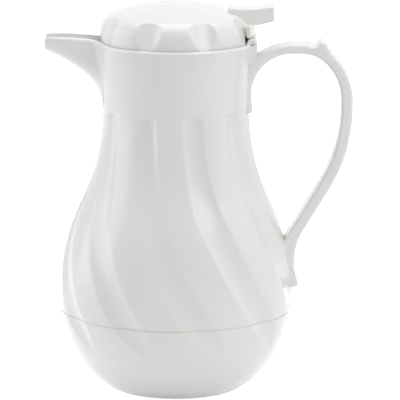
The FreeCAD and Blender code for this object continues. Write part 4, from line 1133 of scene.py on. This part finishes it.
class JUG_OT_stage(bpy.types.Operator):
    """Set the floor, the light, the camera and the frame"""
    bl_idname = "jug.stage"
    bl_label = "Set Stage"

    def execute(self, context):
        scene = context.scene
        stage = measures(scene.jug_stage)
        self.lay_floor(stage)
        self.light(scene, stage)
        self.aim_camera(scene, stage)
        scene.render.engine = "CYCLES"
        scene.render.resolution_x = scene.render.resolution_y = FRAME_PIXELS
        scene.view_settings.view_transform = "Standard"
        return {"FINISHED"}

    def lay_floor(self, stage):
        """A wide sheet of white paper that keeps a faint shadow under the jug."""
        sides = ((-1, -1), (1, -1), (1, 1), (-1, 1))
        corners = [(x * FLOOR_REACH, y * FLOOR_REACH, 0.0) for x, y in sides]
        floor = mesh_object("floor", corners, [(0, 1, 2, 3)])
        # uncoated paper: white and matt
        paper, tree, sheet = new_material("white_paper")
        sheet.inputs["Base Color"].default_value = stage.floor
        sheet.inputs["Roughness"].default_value = PAPER_ROUGH
        part = add_node(tree, MATH, seen_directly(tree), FLOOR_GLOW, operation="MULTIPLY")
        glow = add_node(tree, "ShaderNodeEmission", WHITE, part.outputs[0])
        added = add_node(tree, "ShaderNodeAddShader", sheet.outputs[0], glow.outputs[0])
        tree.links.new(added.outputs[0], tree.nodes["Material Output"].inputs["Surface"])
        floor.data.materials.append(paper)

    def light(self, scene, stage):
        """A white room with softboxes on each side, overhead and over the right shoulder, and a low one."""
        scene.world = bpy.data.worlds.new("studio")
        scene.world.use_nodes = True
        tree = scene.world.node_tree
        sky = tree.nodes["Background"]
        level = add_node(tree, "ShaderNodeMapRange", seen_directly(tree), 0.0, 1.0, stage.sky, 1.0)
        sky.inputs["Color"].default_value = WHITE
        tree.links.new(level.outputs[0], sky.inputs["Strength"])
        for name, (spot, aim, wide, tall) in LAMPS.items():
            light = bpy.data.lights.new(name, "AREA")
            light.shape = "RECTANGLE"
            light.size = wide
            light.size_y = tall
            light.energy = getattr(stage, name)
            lamp = bpy.data.objects.new(name, light)
            lamp.location = spot
            way = Vector((0.0, 0.0, aim)) - Vector(spot)
            lamp.rotation_euler = way.to_track_quat("-Z", "Y").to_euler()
            scene.collection.objects.link(lamp)

    def aim_camera(self, scene, stage):
        """A long lens from the front, a little above the jug."""
        lens = bpy.data.cameras.new("camera")
        lens.sensor_width = SENSOR
        lens.lens = LENS
        lens.shift_x, lens.shift_y = FRAME_SHIFT
        camera = bpy.data.objects.new("camera", lens)
        back = stage.camera_away * MM
        camera.location = (0.0, -back * math.cos(stage.camera_tilt),
                           stage.camera_aim * MM + back * math.sin(stage.camera_tilt))
        camera.rotation_euler = (math.pi / 2 - stage.camera_tilt, 0.0, 0.0)
        scene.collection.objects.link(camera)
        scene.camera = camera


class JUG_PT_panel(bpy.types.Panel):
    """Buttons for the pieces of the jug, and its settings"""
    bl_idname = "JUG_PT_panel"
    bl_label = "Serving Jug"
    bl_space_type = "VIEW_3D"
    bl_region_type = "UI"
    bl_category = "Jug"

    def draw(self, context):
        for operator in STEPS:
            self.layout.operator(operator.bl_idname)
        for name, group in SETTINGS.items():
            box = self.layout.box()
            for setting in group.__annotations__:
                box.prop(getattr(context.scene, name), setting)


STEPS = (JUG_OT_upper_shell, JUG_OT_base_shell, JUG_OT_handle, JUG_OT_lid_dome, JUG_OT_thumb_lever,
         JUG_OT_inner_pieces, JUG_OT_stage)
SETTINGS = {"jug_body": JugBodySettings, "jug_spout": JugSpoutSettings, "jug_lid": JugLidSettings,
            "jug_handle": JugHandleSettings, "jug_finish": JugFinishSettings, "jug_stage": JugStageSettings}


def register():
    """Add the settings, the operators and the panel to Blender."""
    for group in (*SETTINGS.values(), *STEPS, JUG_PT_panel):
        bpy.utils.register_class(group)
    for name, group in SETTINGS.items():
        setattr(bpy.types.Scene, name, bpy.props.PointerProperty(type=group))


def unregister():
    """Take them away again."""
    for name in SETTINGS:
        delattr(bpy.types.Scene, name)
    for group in (JUG_PT_panel, *STEPS[::-1], *SETTINGS.values()):
        bpy.utils.unregister_class(group)


def main():
    """Build every piece and the stage."""
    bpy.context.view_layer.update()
    register()
    bpy.ops.jug.upper_shell()
    bpy.ops.jug.base_shell()
    bpy.ops.jug.handle()
    bpy.ops.jug.lid_dome()
    bpy.ops.jug.thumb_lever()
    bpy.ops.jug.inner_pieces()
    bpy.ops.jug.stage()


if __name__ == "__main__":
    main()
